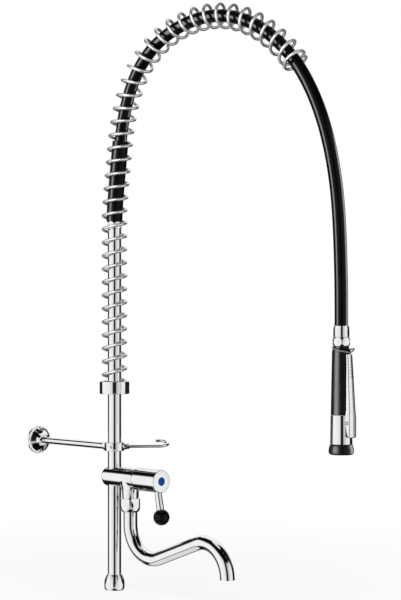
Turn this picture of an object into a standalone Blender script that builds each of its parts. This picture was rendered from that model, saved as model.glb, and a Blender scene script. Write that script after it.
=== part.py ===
"""Pre-rinse faucet: a chromed column with a quarter-turn valve, a swivelling swan-neck spout, a wall
bracket with a spray hook, and a hose that a guide spring carries over to a hand spray with a lever.

Metres, +Z up. The origin is the centre of the column's base, -Y faces the user and +Y the wall.
"""

import math

import bmesh
import bpy
import numpy as np
from mathutils import Matrix, Vector

# Fits and facets
CLEARANCE = 0.0003
ROUND_SIDES = 24
MIDDLE_SIDES = 16
SMALL_SIDES = 12
HEX_TURN = math.radians(47)

# Column
RISER_RADIUS = 0.01345
RISER_WALL = 0.002
VALVE_HEIGHT = 0.228
RISER_TOP = 0.7275
BASE_NUT_ACROSS = 0.040
BASE_NUT_HEIGHT = 0.031
BASE_THREAD_RADIUS = 0.0166
BASE_SOCKET_DEPTH = 0.0165
TAIL_FLANGE_THICKNESS = 0.004
GASKET_THICKNESS = 0.0024

# Valve body, measured along its own level axis from the column
BODY_RADIUS = 0.0205
BODY_BACK = -0.018
BODY_FRONT = 0.074
BODY_EDGE = 0.0025
BOSS_RADIUS = 0.0156
BOSS_HALF_HEIGHT = 0.0220
SOCKET_DEPTH = 0.0085
NECK_OFFSET = 0.049
NECK_TOP_RADIUS = 0.0182
NECK_END_RADIUS = 0.0166
NECK_LENGTH = 0.019
NECK_THREAD_RADIUS = 0.0152
NECK_THREAD_LENGTH = 0.010
CARTRIDGE_RADIUS = 0.0147
CARTRIDGE_BACK = 0.046
CARTRIDGE_FRONT = 0.080
SEAL_THICKNESS = 0.002
DISC_RADIUS = 0.0098
DISC_THICKNESS = 0.0035
DISC_PORT_RADIUS = 0.0028
DISC_PORT_OFFSET = 0.0052
SPINDLE_RADIUS = 0.0045
SPINDLE_FRONT = 0.109
WATERWAY_RADIUS = 0.007

# Turning handle
DRUM_RADIUS = 0.0226
DRUM_FRONT = 0.1425
DRUM_EDGE = 0.003
DRUM_CAVITY_RADIUS = 0.0195
DRUM_CAVITY_FRONT = 0.102
DRUM_WEB = 0.007
SCREW_WELL_RADIUS = 0.0085
CAP_RADIUS = 0.0165
CAP_THICKNESS = 0.003
DOT_RADIUS = 0.0082
DOT_THICKNESS = 0.0012
SCREW_RADIUS = 0.0021
SCREW_LENGTH = 0.012
SCREW_HEAD_RADIUS = 0.0042
SCREW_HEAD_HEIGHT = 0.003
LEVER_PLACE = 0.1275
LEVER_LEAN = math.radians(12)
LEVER_ROOT_RADIUS = 0.0068
LEVER_TIP_RADIUS = 0.0078
LEVER_SOCKET_DEPTH = 0.009
BALL_RADIUS = 0.016
BALL_DROP = 0.070

# Swan-neck spout
SPOUT_RADIUS = 0.014
SPOUT_WALL = 0.0016
SPOUT_BEND = 0.064
SPOUT_RISE = math.radians(20)
SPOUT_REACH = 0.280
SPOUT_STRAIGHT = 0.0237
SPOUT_NUT_ACROSS = 0.0385
SPOUT_NUT_HEIGHT = 0.0275
SPOUT_FLANGE_THICKNESS = 0.0035
SPIGOT_RADIUS = 0.0112
SPIGOT_LENGTH = 0.0175
O_RING_WIRE = 0.0009
SLIP_RING_THICKNESS = 0.0015

# Wall bracket and spray hook
BRACKET_RISE = 0.0605
CLAMP_RADIUS = 0.0200
CLAMP_HEIGHT = 0.017
CLAMP_BACK_BOSS_RADIUS = 0.0082
CLAMP_BACK_BOSS_END = 0.0225
ARM_RADIUS = 0.007
ARM_SPIGOT_RADIUS = 0.004
LOCKNUT_LENGTH = 0.006
LOCKNUT_ACROSS = 0.017
WALL_DISTANCE = 0.250
FLANGE_RADIUS = 0.029
FLANGE_PLATE = 0.004
FLANGE_STEP_RADIUS = 0.0175
FLANGE_STEP_HEIGHT = 0.0085
FLANGE_BOSS_RADIUS = 0.0115
FLANGE_HEIGHT = 0.019
FLANGE_HOLE_RADIUS = 0.0025
FLANGE_HOLE_OFFSET = 0.0225
HOOK_TURN = math.radians(55)
HOOK_RADIUS = 0.00325
HOOK_BOSS_RADIUS = 0.0062
HOOK_BOSS_END = 0.0242
HOOK_NUT_ACROSS = 0.0105
HOOK_NUT_HEIGHT = 0.0055
HOOK_STRAIGHT_END = 0.092
HOOK_BEND = 0.019
HOOK_TILT = math.radians(12)
HOOK_TAIL = 0.004
GRUB_RADIUS = 0.0024

# Spring holder, spring and hose
COLLAR_RADIUS = 0.0300
COLLAR_BASE = 0.395
COLLAR_HEIGHT = 0.0256
COLLAR_FLOOR = 0.007
COLLAR_EDGE = 0.0012
SPRING_RADIUS = 0.0229
WIRE_RADIUS = 0.0032
SPRING_PITCH = 0.02656
SPRING_BENT_PITCH = 0.0297
SPRING_STANDING_TOP = 0.990
SPRING_CURL_POINTS = 9
SPRING_START_TURN = math.radians(170)
SPRING_END_REACH = 0.446
HOSE_NUT_ACROSS = 0.0275
HOSE_NUT_HEIGHT = 0.0148
HOSE_NUT_SPIGOT = 0.014
HOSE_RADIUS = 0.0125
HOSE_STEP = 0.05
SLEEVE_RADIUS = 0.0163
SLEEVE_LENGTH = 0.162
ARCH_TURN = math.radians(9)

# The hose's centre line in the arch's plane: reach from the column, then height
HOSE_ROUTE = (
    (0.000, 0.7426), (0.003, 0.790), (0.008, 0.836), (0.014, 0.887), (0.022, 0.939), (0.036, 0.989),
    (0.057, 1.034), (0.087, 1.072), (0.125, 1.101), (0.169, 1.121), (0.217, 1.132), (0.268, 1.133),
    (0.319, 1.122), (0.366, 1.100), (0.408, 1.069), (0.444, 1.032), (0.473, 0.990), (0.496, 0.945),
    (0.514, 0.897), (0.528, 0.844), (0.538, 0.786), (0.544, 0.717), (0.547, 0.640), (0.548, 0.580),
    (0.548, 0.5236),
)

# Hand spray, heights above the base
FERRULE_RADIUS = 0.0148
FERRULE_LENGTH = 0.021
FERRULE_FLOOR = 0.007
FERRULE_CHAMFER = 0.0045
STEM_RADIUS = 0.0072
STEM_COLLAR_RADIUS = 0.0098
STEM_COLLAR_HEIGHT = 0.003
SPRAY_NUT_ACROSS = 0.031
SPRAY_NUT_HEIGHT = 0.0155
SPRAY_NUT_ROOF = 0.003
WASHER_THICKNESS = 0.0018
TUBE_RADIUS = 0.0100
TUBE_BORE = 0.005
GRIP_NECK_RADIUS = 0.0141
GRIP_NECK_LENGTH = 0.0045
GRIP_SHOULDER_LENGTH = 0.0075
GRIP_TOP_RADIUS = 0.0172
GRIP_END_RADIUS = 0.0194
GRIP_LENGTH = 0.126
BODY_LENGTH = 0.0535
SPRAY_BODY_TOP_RADIUS = 0.0196
SPRAY_BODY_END_RADIUS = 0.0204
NOSE_RADIUS = 0.0168
NOSE_LENGTH = 0.0145
CHAMBER_RADIUS = 0.0140
CHAMBER_HEIGHT = 0.030
BUMPER_RADIUS = 0.0234
BUMPER_HEIGHT = 0.0190
FACE_THICKNESS = 0.003
FACE_HOLE_RADIUS = 0.0011
FACE_RINGS = ((0.0, 1), (0.0052, 4), (0.0108, 8))

# Spray lever, its pin, plunger and lock ring; distances forward of the spray's axis
PIVOT_DROP = 0.014
PIVOT_FORWARD = 0.0225
PIN_RADIUS = 0.0020
PIN_HEAD_RADIUS = 0.0034
PIN_HEAD_HEIGHT = 0.0014
LUG_RADIUS = 0.0042
SHEET = 0.0015
LEVER_TOP_GAP = 0.0105
LEVER_TOP_FORWARD = 0.0222
LEVER_LOW_FORWARD = 0.0290
LEVER_TOP_WIDTH = 0.0112
LEVER_MID_WIDTH = 0.0145
LEVER_LOW_WIDTH = 0.0190
LEVER_BELOW_PIVOT = 0.027
LEVER_SHOULDER_ABOVE = 0.014
LEVER_CORNER = 0.003
LEVER_SWING = math.radians(12)
PLUNGER_RISE = 0.032
PLUNGER_RADIUS = 0.0030
PLUNGER_HEAD_RADIUS = 0.0046
PLUNGER_HEAD = 0.0022
PLUNGER_INNER_END = 0.002
PLUNGER_SPRING_WIRE = 0.0005
PLUNGER_SPRING_TURNS = 4
RING_WIRE = 0.0012
RING_BACK_RADIUS = 0.0180
RING_BACK_FORWARD = 0.0024
RING_NOSE_RADIUS = 0.0062
RING_NOSE_FORWARD = 0.0225
RING_TILT = math.radians(13)
RING_SEAT_DROP = 0.0017

# Heights that follow from the sizes above
FERRULE_BASE = HOSE_ROUTE[-1][1] - CLEARANCE - FERRULE_FLOOR
SPRAY_NUT_TOP = FERRULE_BASE - CLEARANCE
SPRAY_NUT_BASE = SPRAY_NUT_TOP - SPRAY_NUT_HEIGHT
GRIP_TOP = SPRAY_NUT_BASE - CLEARANCE
GRIP_BASE = GRIP_TOP - GRIP_LENGTH
SPRAY_BODY_TOP = GRIP_BASE - CLEARANCE
SPRAY_BODY_BASE = SPRAY_BODY_TOP - BODY_LENGTH
PIVOT_HEIGHT = SPRAY_BODY_TOP - PIVOT_DROP
PLUNGER_HEIGHT = PIVOT_HEIGHT + PLUNGER_RISE
LEVER_TOP = GRIP_TOP - GRIP_NECK_LENGTH - LEVER_TOP_GAP
SPRING_BASE = COLLAR_BASE + COLLAR_FLOOR + CLEARANCE + WIRE_RADIUS
NECK_END_HEIGHT = VALVE_HEIGHT - BODY_RADIUS - NECK_LENGTH
SPOUT_NUT_TOP = NECK_END_HEIGHT - CLEARANCE
SPOUT_NUT_BASE = SPOUT_NUT_TOP - SPOUT_NUT_HEIGHT
SPOUT_LOW = SPOUT_NUT_BASE - SPOUT_STRAIGHT - SPOUT_BEND
BRACKET_HEIGHT = VALVE_HEIGHT + BRACKET_RISE


def clear_scene():
    for item in list(bpy.data.objects):
        bpy.data.objects.remove(item, do_unlink=True)


def finish_of(name, colour, roughness, metallic):
    made = bpy.data.materials.new(name)
    made.use_nodes = True
    shader = made.node_tree.nodes["Principled BSDF"]
    shader.inputs["Base Color"].default_value = (*colour, 1.0)
    shader.inputs["Roughness"].default_value = roughness
    shader.inputs["Metallic"].default_value = metallic
    return made


def axis_empty(name, place, turn=(0.0, 0.0, 0.0), parent=None):
    """An empty on a joint's axis or at a sub-assembly's centre, for its pieces to be placed on."""
    empty = bpy.data.objects.new(name, None)
    empty.empty_display_size = 0.02
    empty.location = place
    empty.rotation_euler = turn
    empty.parent = parent
    bpy.context.scene.collection.objects.link(empty)
    return empty


def facing_out(shape):
    """Turns a closed shape's faces the same way round, and outwards."""
    bmesh.ops.recalc_face_normals(shape, faces=shape.faces)
    if shape.calc_volume(signed=True) < 0.0:
        bmesh.ops.reverse_faces(shape, faces=shape.faces)
    return shape


def piece(name, shape, finish, parent, place=(0.0, 0.0, 0.0), turn=(0.0, 0.0, 0.0)):
    """A named object from a finished shape, shaded smooth with its edges kept sharp."""
    mesh = bpy.data.meshes.new(name)
    facing_out(shape).to_mesh(mesh)
    shape.free()
    mesh.shade_smooth()
    mesh.set_sharp_from_angle(angle=math.radians(30))
    mesh.materials.append(finish)
    made = bpy.data.objects.new(name, mesh)
    made.location = place
    made.rotation_euler = turn
    made.parent = parent
    bpy.context.scene.collection.objects.link(made)
    return made


def turned(outline, sides=ROUND_SIDES):
    """A closed outline of (radius, height) points spun about Z."""
    shape = bmesh.new()
    corners = [shape.verts.new((radius, 0.0, height)) for radius, height in outline]
    edges = [shape.edges.new((corners[i - 1], corners[i])) for i in range(len(corners))]
    bmesh.ops.spin(
        shape, geom=corners + edges, cent=(0, 0, 0), axis=(0, 0, 1), angle=math.tau, steps=sides, use_merge=True
    )
    bmesh.ops.remove_doubles(shape, verts=shape.verts, dist=1e-6)
    return facing_out(shape)


def arc(centre, radius, start, end, steps=5):
    """Points of an outline's round stretch, with angles in degrees from the outward direction."""
    angles = [math.radians(start + (end - start) * i / steps) for i in range(steps + 1)]
    return [(centre[0] + radius * math.cos(a), centre[1] + radius * math.sin(a)) for a in angles]


def rod(radius, start, end, sides=SMALL_SIDES):
    """A plain round bar along Z."""
    return turned([(0.0, end), (radius, end), (radius, start), (0.0, start)], sides)


def ring(inner, outer, base, top, sides=ROUND_SIDES):
    return turned([(inner, top), (outer, top), (outer, base), (inner, base)], sides)


def moved(shape, place=(0.0, 0.0, 0.0), turn=Matrix.Identity(4)):
    shape.transform(Matrix.Translation(place) @ turn)
    return shape


def along_y(shape):
    """Lays a shape made along +Z down so that it points to -Y."""
    return moved(shape, turn=Matrix.Rotation(math.pi / 2, 4, "X"))


def along_x(shape):
    return moved(shape, turn=Matrix.Rotation(math.pi / 2, 4, "Y"))


def hexagon(across, base, top):
    """A hexagon bar along Z, with a corner at HEX_TURN."""
    shape = bmesh.new()
    corner = across / math.sqrt(3)
    bmesh.ops.create_cone(shape, cap_ends=True, segments=6, radius1=corner, radius2=corner, depth=top - base)
    return moved(shape, (0, 0, (base + top) / 2), Matrix.Rotation(HEX_TURN - math.pi / 2, 4, "Z"))


def box(low, high):
    shape = bmesh.new()
    size = Vector(high) - Vector(low)
    bmesh.ops.create_cube(shape, size=1.0)
    return moved(shape, (Vector(low) + Vector(high)) / 2, Matrix.Diagonal((*size, 1.0)))


def combined(base, tool, operation):
    """A Boolean of two shapes, which are used up."""
    held = []
    for shape in (base, tool):
        mesh = bpy.data.meshes.new("shape")
        shape.to_mesh(mesh)
        shape.free()
        held.append(bpy.data.objects.new("shape", mesh))
        bpy.context.scene.collection.objects.link(held[-1])
    change = held[0].modifiers.new("combine", "BOOLEAN")
    change.operation = operation
    change.solver = "EXACT"
    change.object = held[1]
    bpy.context.view_layer.update()
    result = bmesh.new()
    result.from_object(held[0], bpy.context.evaluated_depsgraph_get())
    for item in held:
        mesh = item.data
        bpy.data.objects.remove(item)
        bpy.data.meshes.remove(mesh)
    bmesh.ops.dissolve_degenerate(result, dist=1e-7, edges=result.edges)
    return result


def cut(base, *tools):
    for tool in tools:
        base = combined(base, tool, "DIFFERENCE")
    return base


def joined(base, *more):
    for shape in more:
        base = combined(base, shape, "UNION")
    return base


def hexed(shape, across, base, top):
    """A turned shape with six flats."""
    return combined(shape, hexagon(across, base, top), "INTERSECT")


def ball_hex(across, base, height):
    """A nut turned to a ball, so that its six flats show as discs."""
    half = height / 2
    middle = base + half
    ball = math.hypot(across / 2, half)
    rise = math.degrees(math.asin(half / ball))
    outline = [(0.0, middle + half), *arc((0.0, middle), ball, rise, -rise, 6), (0.0, middle - half)]
    return hexed(turned(outline, MIDDLE_SIDES), across, base - height, base + 2 * height)


def swept(skin, side, bore=(), sides=SMALL_SIDES, closed=False):
    """A bar through (point, tangent, radius) stations in the plane square to side, or a tube with a bore."""
    shape = bmesh.new()
    turns = [math.tau * i / sides for i in range(sides)]

    def loop(point, tangent, radius):
        over = tangent.cross(side).normalized()
        return [shape.verts.new(point + radius * (math.cos(a) * side + math.sin(a) * over)) for a in turns]

    def bridge(first, second):
        for i in range(sides):
            shape.faces.new((first[i - 1], first[i], second[i], second[i - 1]))

    surfaces = [[loop(*station) for station in stations] for stations in (skin, bore) if stations]
    for loops in surfaces:
        for i in range(0 if closed else 1, len(loops)):
            bridge(loops[i - 1], loops[i])
    if bore:
        bridge(surfaces[0][0], surfaces[1][0])
        bridge(surfaces[0][-1], surfaces[1][-1])
    elif not closed:
        shape.faces.new(surfaces[0][0])
        shape.faces.new(surfaces[0][-1])
    return facing_out(shape)


def stations(points, radius, closed=False):
    """A path's points with their directions and one radius, for swept."""
    last = len(points) - 1
    made = []
    for i, point in enumerate(points):
        before = points[i - 1] if closed or i else point
        after = points[(i + 1) % len(points)] if closed or i < last else point
        made.append((point, (after - before).normalized(), radius))
    return made


def first_stretch(points, length):
    """The points of a path up to a length along it, with its end cut to that length."""
    kept = [points[0]]
    for point in points[1:]:
        run = (point - kept[-1]).length
        if run >= length:
            return kept + [kept[-1].lerp(point, length / run)]
        length -= run
        kept.append(point)
    return kept


def smooth_curve(points, step):
    """Samples a cubic spline through points, upright at both ends, at about the step asked for."""
    points = np.array(points)
    knots = np.concatenate([[0.0], np.cumsum(np.linalg.norm(np.diff(points, axis=0), axis=1))])
    gaps = np.diff(knots)
    count = len(points)
    rows = np.zeros((count, count))
    right = np.zeros((count, 2))
    slopes = np.diff(points, axis=0) / gaps[:, None]
    rows[0, :2] = 2 * gaps[0], gaps[0]
    rows[-1, -2:] = gaps[-1], 2 * gaps[-1]
    right[0] = 6 * (slopes[0] - (0.0, 1.0))
    right[-1] = 6 * ((0.0, -1.0) - slopes[-1])
    for i in range(1, count - 1):
        rows[i, i - 1 : i + 2] = gaps[i - 1], 2 * (gaps[i - 1] + gaps[i]), gaps[i]
        right[i] = 6 * (slopes[i] - slopes[i - 1])
    bends = np.linalg.solve(rows, right)
    samples = np.linspace(0.0, knots[-1], int(knots[-1] / step) + 2)
    spans = np.clip(np.searchsorted(knots, samples, side="right") - 1, 0, count - 2)
    width = gaps[spans][:, None]
    start = (samples - knots[spans])[:, None]
    end = width - start
    return (
        bends[spans] * end**3 / (6 * width)
        + bends[spans + 1] * start**3 / (6 * width)
        + (points[spans] / width - bends[spans] * width / 6) * end
        + (points[spans + 1] / width - bends[spans + 1] * width / 6) * start
    )


class Arch:
    """The hose's centre line by length: straight up the column, then over to the spray."""

    def __init__(self):
        fine = 0.001
        route = smooth_curve(HOSE_ROUTE, fine)
        self.flat = np.vstack([[(0.0, SPRING_BASE)], route])
        self.lengths = np.concatenate([[0.0], np.cumsum(np.linalg.norm(np.diff(self.flat, axis=0), axis=1))])
        self.hose_start = self.lengths[1]
        self.end = self.lengths[-1]
        self.ahead = Vector((math.sin(ARCH_TURN), -math.cos(ARCH_TURN), 0.0))
        self.side = Vector((math.cos(ARCH_TURN), math.sin(ARCH_TURN), 0.0))

    def point(self, length):
        reach, height = (np.interp(length, self.lengths, self.flat[:, i]) for i in (0, 1))
        return self.ahead * float(reach) + Vector((0.0, 0.0, float(height)))

    def tangent(self, length):
        small = 0.002
        return (self.point(min(length + small, self.end)) - self.point(max(length - small, 0.0))).normalized()

    def length_at_reach(self, reach):
        falling = int(np.argmax(self.flat[:, 1]))
        return float(np.interp(reach, self.flat[falling:, 0], self.lengths[falling:]))

    def length_at_height(self, height):
        rising = int(np.argmax(self.flat[:, 1])) + 1
        return float(np.interp(height, self.flat[:rising, 1], self.lengths[:rising]))


def least_gap(points, wire, apart):
    """The least clear distance between stretches of one wire that lie some points apart on it."""
    places = np.array(points)
    least = math.inf
    for i in range(len(places) - apart):
        least = min(least, float(np.linalg.norm(places[i + apart :] - places[i], axis=1).min()))
    return least - 2 * wire


def wire_object(name, points, radius, sides_level, finish, parent):
    """One unbroken round wire or hose through points, as a curve with closed ends."""
    curve = bpy.data.curves.new(name, "CURVE")
    curve.dimensions = "3D"
    curve.bevel_depth = radius
    curve.bevel_resolution = sides_level
    curve.use_fill_caps = True
    curve.twist_mode = "MINIMUM"
    spline = curve.splines.new("POLY")
    spline.points.add(len(points) - 1)
    for spot, point in zip(spline.points, points):
        spot.co = (*point, 1.0)
    spline.use_smooth = True
    curve.materials.append(finish)
    made = bpy.data.objects.new(name, curve)
    made.parent = parent
    bpy.context.scene.collection.objects.link(made)
    return made


def build_column(root, chrome, rubber):
    """Union nut, tail and the two stretches of riser tube."""
    flange_top = BASE_SOCKET_DEPTH - CLEARANCE
    flange_base = flange_top - TAIL_FLANGE_THICKNESS
    gasket_top = flange_base - CLEARANCE
    bore = RISER_RADIUS - RISER_WALL
    fit = RISER_RADIUS + CLEARANCE

    corner = BASE_NUT_ACROSS / math.sqrt(3)
    chamfer = corner - BASE_NUT_ACROSS / 2
    dome = BASE_NUT_HEIGHT * 0.5
    crown = RISER_RADIUS + 0.0022
    outline = [(0.0, BASE_NUT_HEIGHT), (crown, BASE_NUT_HEIGHT)]
    for i in range(1, 6):
        lean = math.radians(90 - 18 * i)
        outline.append((crown + (corner - crown) * math.cos(lean), dome + dome * math.sin(lean)))
    outline += [(corner, chamfer), (corner - chamfer, 0.0), (0.0, 0.0)]
    nut = hexed(turned(outline), BASE_NUT_ACROSS, -0.01, BASE_NUT_HEIGHT + 0.01)
    nut = cut(nut, rod(fit, -0.01, BASE_NUT_HEIGHT + 0.01, ROUND_SIDES))
    nut = cut(nut, rod(BASE_THREAD_RADIUS, -0.01, BASE_SOCKET_DEPTH, ROUND_SIDES))
    piece("base_union_nut", nut, chrome, root)

    washer = ring(bore, BASE_THREAD_RADIUS - CLEARANCE, gasket_top - GASKET_THICKNESS, gasket_top, MIDDLE_SIDES)
    piece("base_gasket", washer, rubber, root)

    socket = BOSS_HALF_HEIGHT - SOCKET_DEPTH + CLEARANCE
    top = VALVE_HEIGHT - socket
    flange = BASE_THREAD_RADIUS - CLEARANCE
    outline = [(bore, top), (RISER_RADIUS, top), (RISER_RADIUS, flange_top), (flange, flange_top)]
    outline += [(flange, flange_base), (bore, flange_base)]
    piece("riser_lower", turned(outline), chrome, root)
    piece("riser_upper", ring(bore, RISER_RADIUS, VALVE_HEIGHT + socket, RISER_TOP), chrome, root)


def build_valve_body(root, chrome):
    """The level body across the column, with riser sockets, spout neck and headwork bore."""
    outline = [(0.0, BODY_FRONT), (BODY_RADIUS - BODY_EDGE / 3, BODY_FRONT)]
    outline += [(BODY_RADIUS, BODY_FRONT - BODY_EDGE / 3)]
    outline += arc((BODY_RADIUS - BODY_EDGE, BODY_BACK + BODY_EDGE), BODY_EDGE, 0, -90, 3)
    outline += [(0.0, BODY_BACK)]
    shape = along_y(turned(outline))

    waist = BODY_RADIUS * 0.75
    outline = [(0.0, BOSS_HALF_HEIGHT), (BOSS_RADIUS, BOSS_HALF_HEIGHT), (BOSS_RADIUS + 0.003, waist)]
    outline += [(BOSS_RADIUS + 0.003, -waist), (BOSS_RADIUS, -BOSS_HALF_HEIGHT), (0.0, -BOSS_HALF_HEIGHT)]
    shape = joined(shape, turned(outline))

    end = NECK_END_HEIGHT - VALVE_HEIGHT
    thread_end = end - NECK_THREAD_LENGTH
    outline = [(0.0, 0.0), (NECK_TOP_RADIUS, 0.0), (NECK_TOP_RADIUS, -BODY_RADIUS * 0.8)]
    outline += [(NECK_END_RADIUS, end), (NECK_THREAD_RADIUS, end), (NECK_THREAD_RADIUS, thread_end), (0.0, thread_end)]
    shape = joined(shape, moved(turned(outline, MIDDLE_SIDES), (0, -NECK_OFFSET, 0)))

    fit = RISER_RADIUS + CLEARANCE
    socket = BOSS_HALF_HEIGHT - SOCKET_DEPTH
    way = RISER_RADIUS - RISER_WALL
    outline = [(0.0, 0.05), (fit, 0.05), (fit, socket), (way, socket)]
    outline += [(way, -socket), (fit, -socket), (fit, -0.05), (0.0, -0.05)]
    shape = cut(shape, turned(outline))

    seat = CARTRIDGE_BACK - SEAL_THICKNESS - 2 * CLEARANCE
    headwork = CARTRIDGE_RADIUS + CLEARANCE
    outline = [(0.0, 0.1), (headwork, 0.1), (headwork, seat), (WATERWAY_RADIUS, seat)]
    outline += [(WATERWAY_RADIUS, 0.0), (0.0, 0.0)]
    shape = cut(shape, along_y(turned(outline, MIDDLE_SIDES)))

    spigot = SPIGOT_RADIUS + CLEARANCE
    roof = thread_end + SPIGOT_LENGTH + CLEARANCE
    outline = [(0.0, 0.0), (WATERWAY_RADIUS, 0.0), (WATERWAY_RADIUS, roof), (spigot, roof)]
    outline += [(spigot, -0.1), (0.0, -0.1)]
    shape = cut(shape, moved(turned(outline, MIDDLE_SIDES), (0, -NECK_OFFSET, 0)))
    piece("valve_body", shape, chrome, root, (0, 0, VALVE_HEIGHT))


def ported_disc(base):
    """A ceramic disc with its two ports."""
    shape = rod(DISC_RADIUS, base, base + DISC_THICKNESS, MIDDLE_SIDES)
    for side in (-1, 1):
        port = rod(DISC_PORT_RADIUS, base - 0.001, base + DISC_THICKNESS + 0.001, 8)
        shape = cut(shape, moved(port, (0, side * DISC_PORT_OFFSET, 0)))
    return shape


def build_headwork(fixed, turning, brass, rubber, ceramic):
    """Ceramic-disc headwork: seal, housing and fixed disc, then the moving disc and spindle."""
    seal_base = CARTRIDGE_BACK - CLEARANCE - SEAL_THICKNESS
    piece(
        "cartridge_seal",
        ring(WATERWAY_RADIUS, CARTRIDGE_RADIUS, seal_base, CARTRIDGE_BACK - CLEARANCE, MIDDLE_SIDES),
        rubber,
        fixed,
    )
    moving_base = CARTRIDGE_BACK + DISC_THICKNESS + CLEARANCE
    drive_base = moving_base + DISC_THICKNESS + CLEARANCE
    drive_top = drive_base + DISC_THICKNESS
    chamber = DISC_RADIUS + CLEARANCE
    hole = SPINDLE_RADIUS + CLEARANCE
    roof = drive_top + CLEARANCE
    outline = [(hole, CARTRIDGE_FRONT), (CARTRIDGE_RADIUS, CARTRIDGE_FRONT), (CARTRIDGE_RADIUS, CARTRIDGE_BACK)]
    outline += [(chamber, CARTRIDGE_BACK), (chamber, roof), (hole, roof)]
    piece("valve_cartridge", turned(outline, MIDDLE_SIDES), brass, fixed)
    piece("disc_fixed", ported_disc(CARTRIDGE_BACK), ceramic, fixed)
    piece("disc_moving", ported_disc(moving_base), ceramic, turning)
    outline = [(0.0, SPINDLE_FRONT), (SPINDLE_RADIUS, SPINDLE_FRONT), (SPINDLE_RADIUS, drive_top)]
    outline += [(DISC_RADIUS, drive_top), (DISC_RADIUS, drive_base), (0.0, drive_base)]
    tapped = SCREW_RADIUS + CLEARANCE
    spindle = cut(turned(outline, MIDDLE_SIDES), rod(tapped, SPINDLE_FRONT - SCREW_LENGTH, SPINDLE_FRONT + 0.01))
    piece("valve_spindle", spindle, brass, turning)


def build_handle(turning, chrome, black, blue, steel):
    """The drum that turns on the valve's axis, its front cap and dot, and the lever with its ball."""
    back = BODY_FRONT + CLEARANCE
    hub = SPINDLE_RADIUS + CLEARANCE
    web_front = DRUM_CAVITY_FRONT + DRUM_WEB
    cap_back = DRUM_FRONT - CAP_THICKNESS - CLEARANCE
    cap_fit = CAP_RADIUS + CLEARANCE
    outline = [(cap_fit, DRUM_FRONT)]
    outline += arc((DRUM_RADIUS - DRUM_EDGE, DRUM_FRONT - DRUM_EDGE), DRUM_EDGE, 90, 0, 4)
    outline += [(DRUM_RADIUS, back + DRUM_EDGE / 4), (DRUM_RADIUS - DRUM_EDGE / 4, back)]
    outline += [(DRUM_CAVITY_RADIUS, back), (DRUM_CAVITY_RADIUS, DRUM_CAVITY_FRONT), (hub, DRUM_CAVITY_FRONT)]
    outline += [(hub, web_front), (SCREW_WELL_RADIUS, web_front), (SCREW_WELL_RADIUS, cap_back), (cap_fit, cap_back)]
    drum = turned(outline)

    lean = Matrix.Rotation(math.pi / 2 - LEVER_LEAN, 4, "X")
    root_place = (0.0, 0.0, LEVER_PLACE)
    seat = DRUM_RADIUS - LEVER_SOCKET_DEPTH
    socket = rod(LEVER_ROOT_RADIUS + 2 * CLEARANCE, seat, DRUM_RADIUS + 0.02, MIDDLE_SIDES)
    drum = cut(drum, moved(socket, root_place, lean))
    piece("handle_drum", drum, chrome, turning)

    dot_fit = DOT_RADIUS + CLEARANCE
    dot_seat = DRUM_FRONT - DOT_THICKNESS - CLEARANCE
    cap_base = DRUM_FRONT - CAP_THICKNESS
    outline = [(0.0, dot_seat), (dot_fit, dot_seat), (dot_fit, DRUM_FRONT), (CAP_RADIUS, DRUM_FRONT)]
    outline += [(CAP_RADIUS, cap_base), (0.0, cap_base)]
    piece("handle_cap", turned(outline), chrome, turning)
    dot_base = DRUM_FRONT - DOT_THICKNESS
    piece("index_dot", rod(DOT_RADIUS, dot_base, DRUM_FRONT, ROUND_SIDES), blue, turning)

    head_base = max(web_front, SPINDLE_FRONT) + CLEARANCE
    head_top = head_base + SCREW_HEAD_HEIGHT
    outline = [(0.0, head_top), (SCREW_HEAD_RADIUS, head_top), (SCREW_HEAD_RADIUS, head_base)]
    tip = SPINDLE_FRONT - SCREW_LENGTH + 0.001
    outline += [(SCREW_RADIUS, head_base), (SCREW_RADIUS, tip), (0.0, tip)]
    slot = box((-0.0005, -0.006, head_top - 0.0012), (0.0005, 0.006, head_top + 0.001))
    piece("handle_screw", cut(turned(outline, SMALL_SIDES), slot), steel, turning)

    ball = BALL_DROP / math.cos(LEVER_LEAN)
    stud = LEVER_TIP_RADIUS * 0.6
    face = ball - math.sqrt(BALL_RADIUS**2 - LEVER_TIP_RADIUS**2)
    stud_end = face + BALL_RADIUS * 0.4
    outline = [(0.0, stud_end), (stud, stud_end), (stud, face - CLEARANCE), (LEVER_TIP_RADIUS, face - CLEARANCE)]
    outline += [(LEVER_ROOT_RADIUS, seat + CLEARANCE), (0.0, seat + CLEARANCE)]
    piece("lever_rod", moved(turned(outline, MIDDLE_SIDES), root_place, lean), chrome, turning)
    low = math.degrees(math.acos(LEVER_TIP_RADIUS / BALL_RADIUS))
    hole = stud + CLEARANCE
    outline = arc((0.0, ball), BALL_RADIUS, 90, -low, 9)
    outline += [(hole, face), (hole, stud_end + CLEARANCE), (0.0, stud_end + CLEARANCE)]
    piece("ball_knob", moved(turned(outline, MIDDLE_SIDES), root_place, lean), black, turning)


def spout_path():
    """The swan neck's centre line from the neck's flange down, out and down again, in the Y-Z plane."""
    low = SPOUT_LOW + SPOUT_BEND
    rise = math.degrees(SPOUT_RISE)
    first = arc((SPOUT_BEND, low), SPOUT_BEND, 180, 270 + rise, 7)
    far = SPOUT_REACH - SPOUT_BEND
    run = far - SPOUT_BEND - 2 * SPOUT_BEND * math.sin(SPOUT_RISE)
    drop = 2 * SPOUT_BEND * math.cos(SPOUT_RISE) - run * math.tan(SPOUT_RISE)
    second = arc((far, low - drop), SPOUT_BEND, 90 + rise, 0, 7)
    return [Vector((0.0, -reach, height)) for reach, height in first + second]


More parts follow.
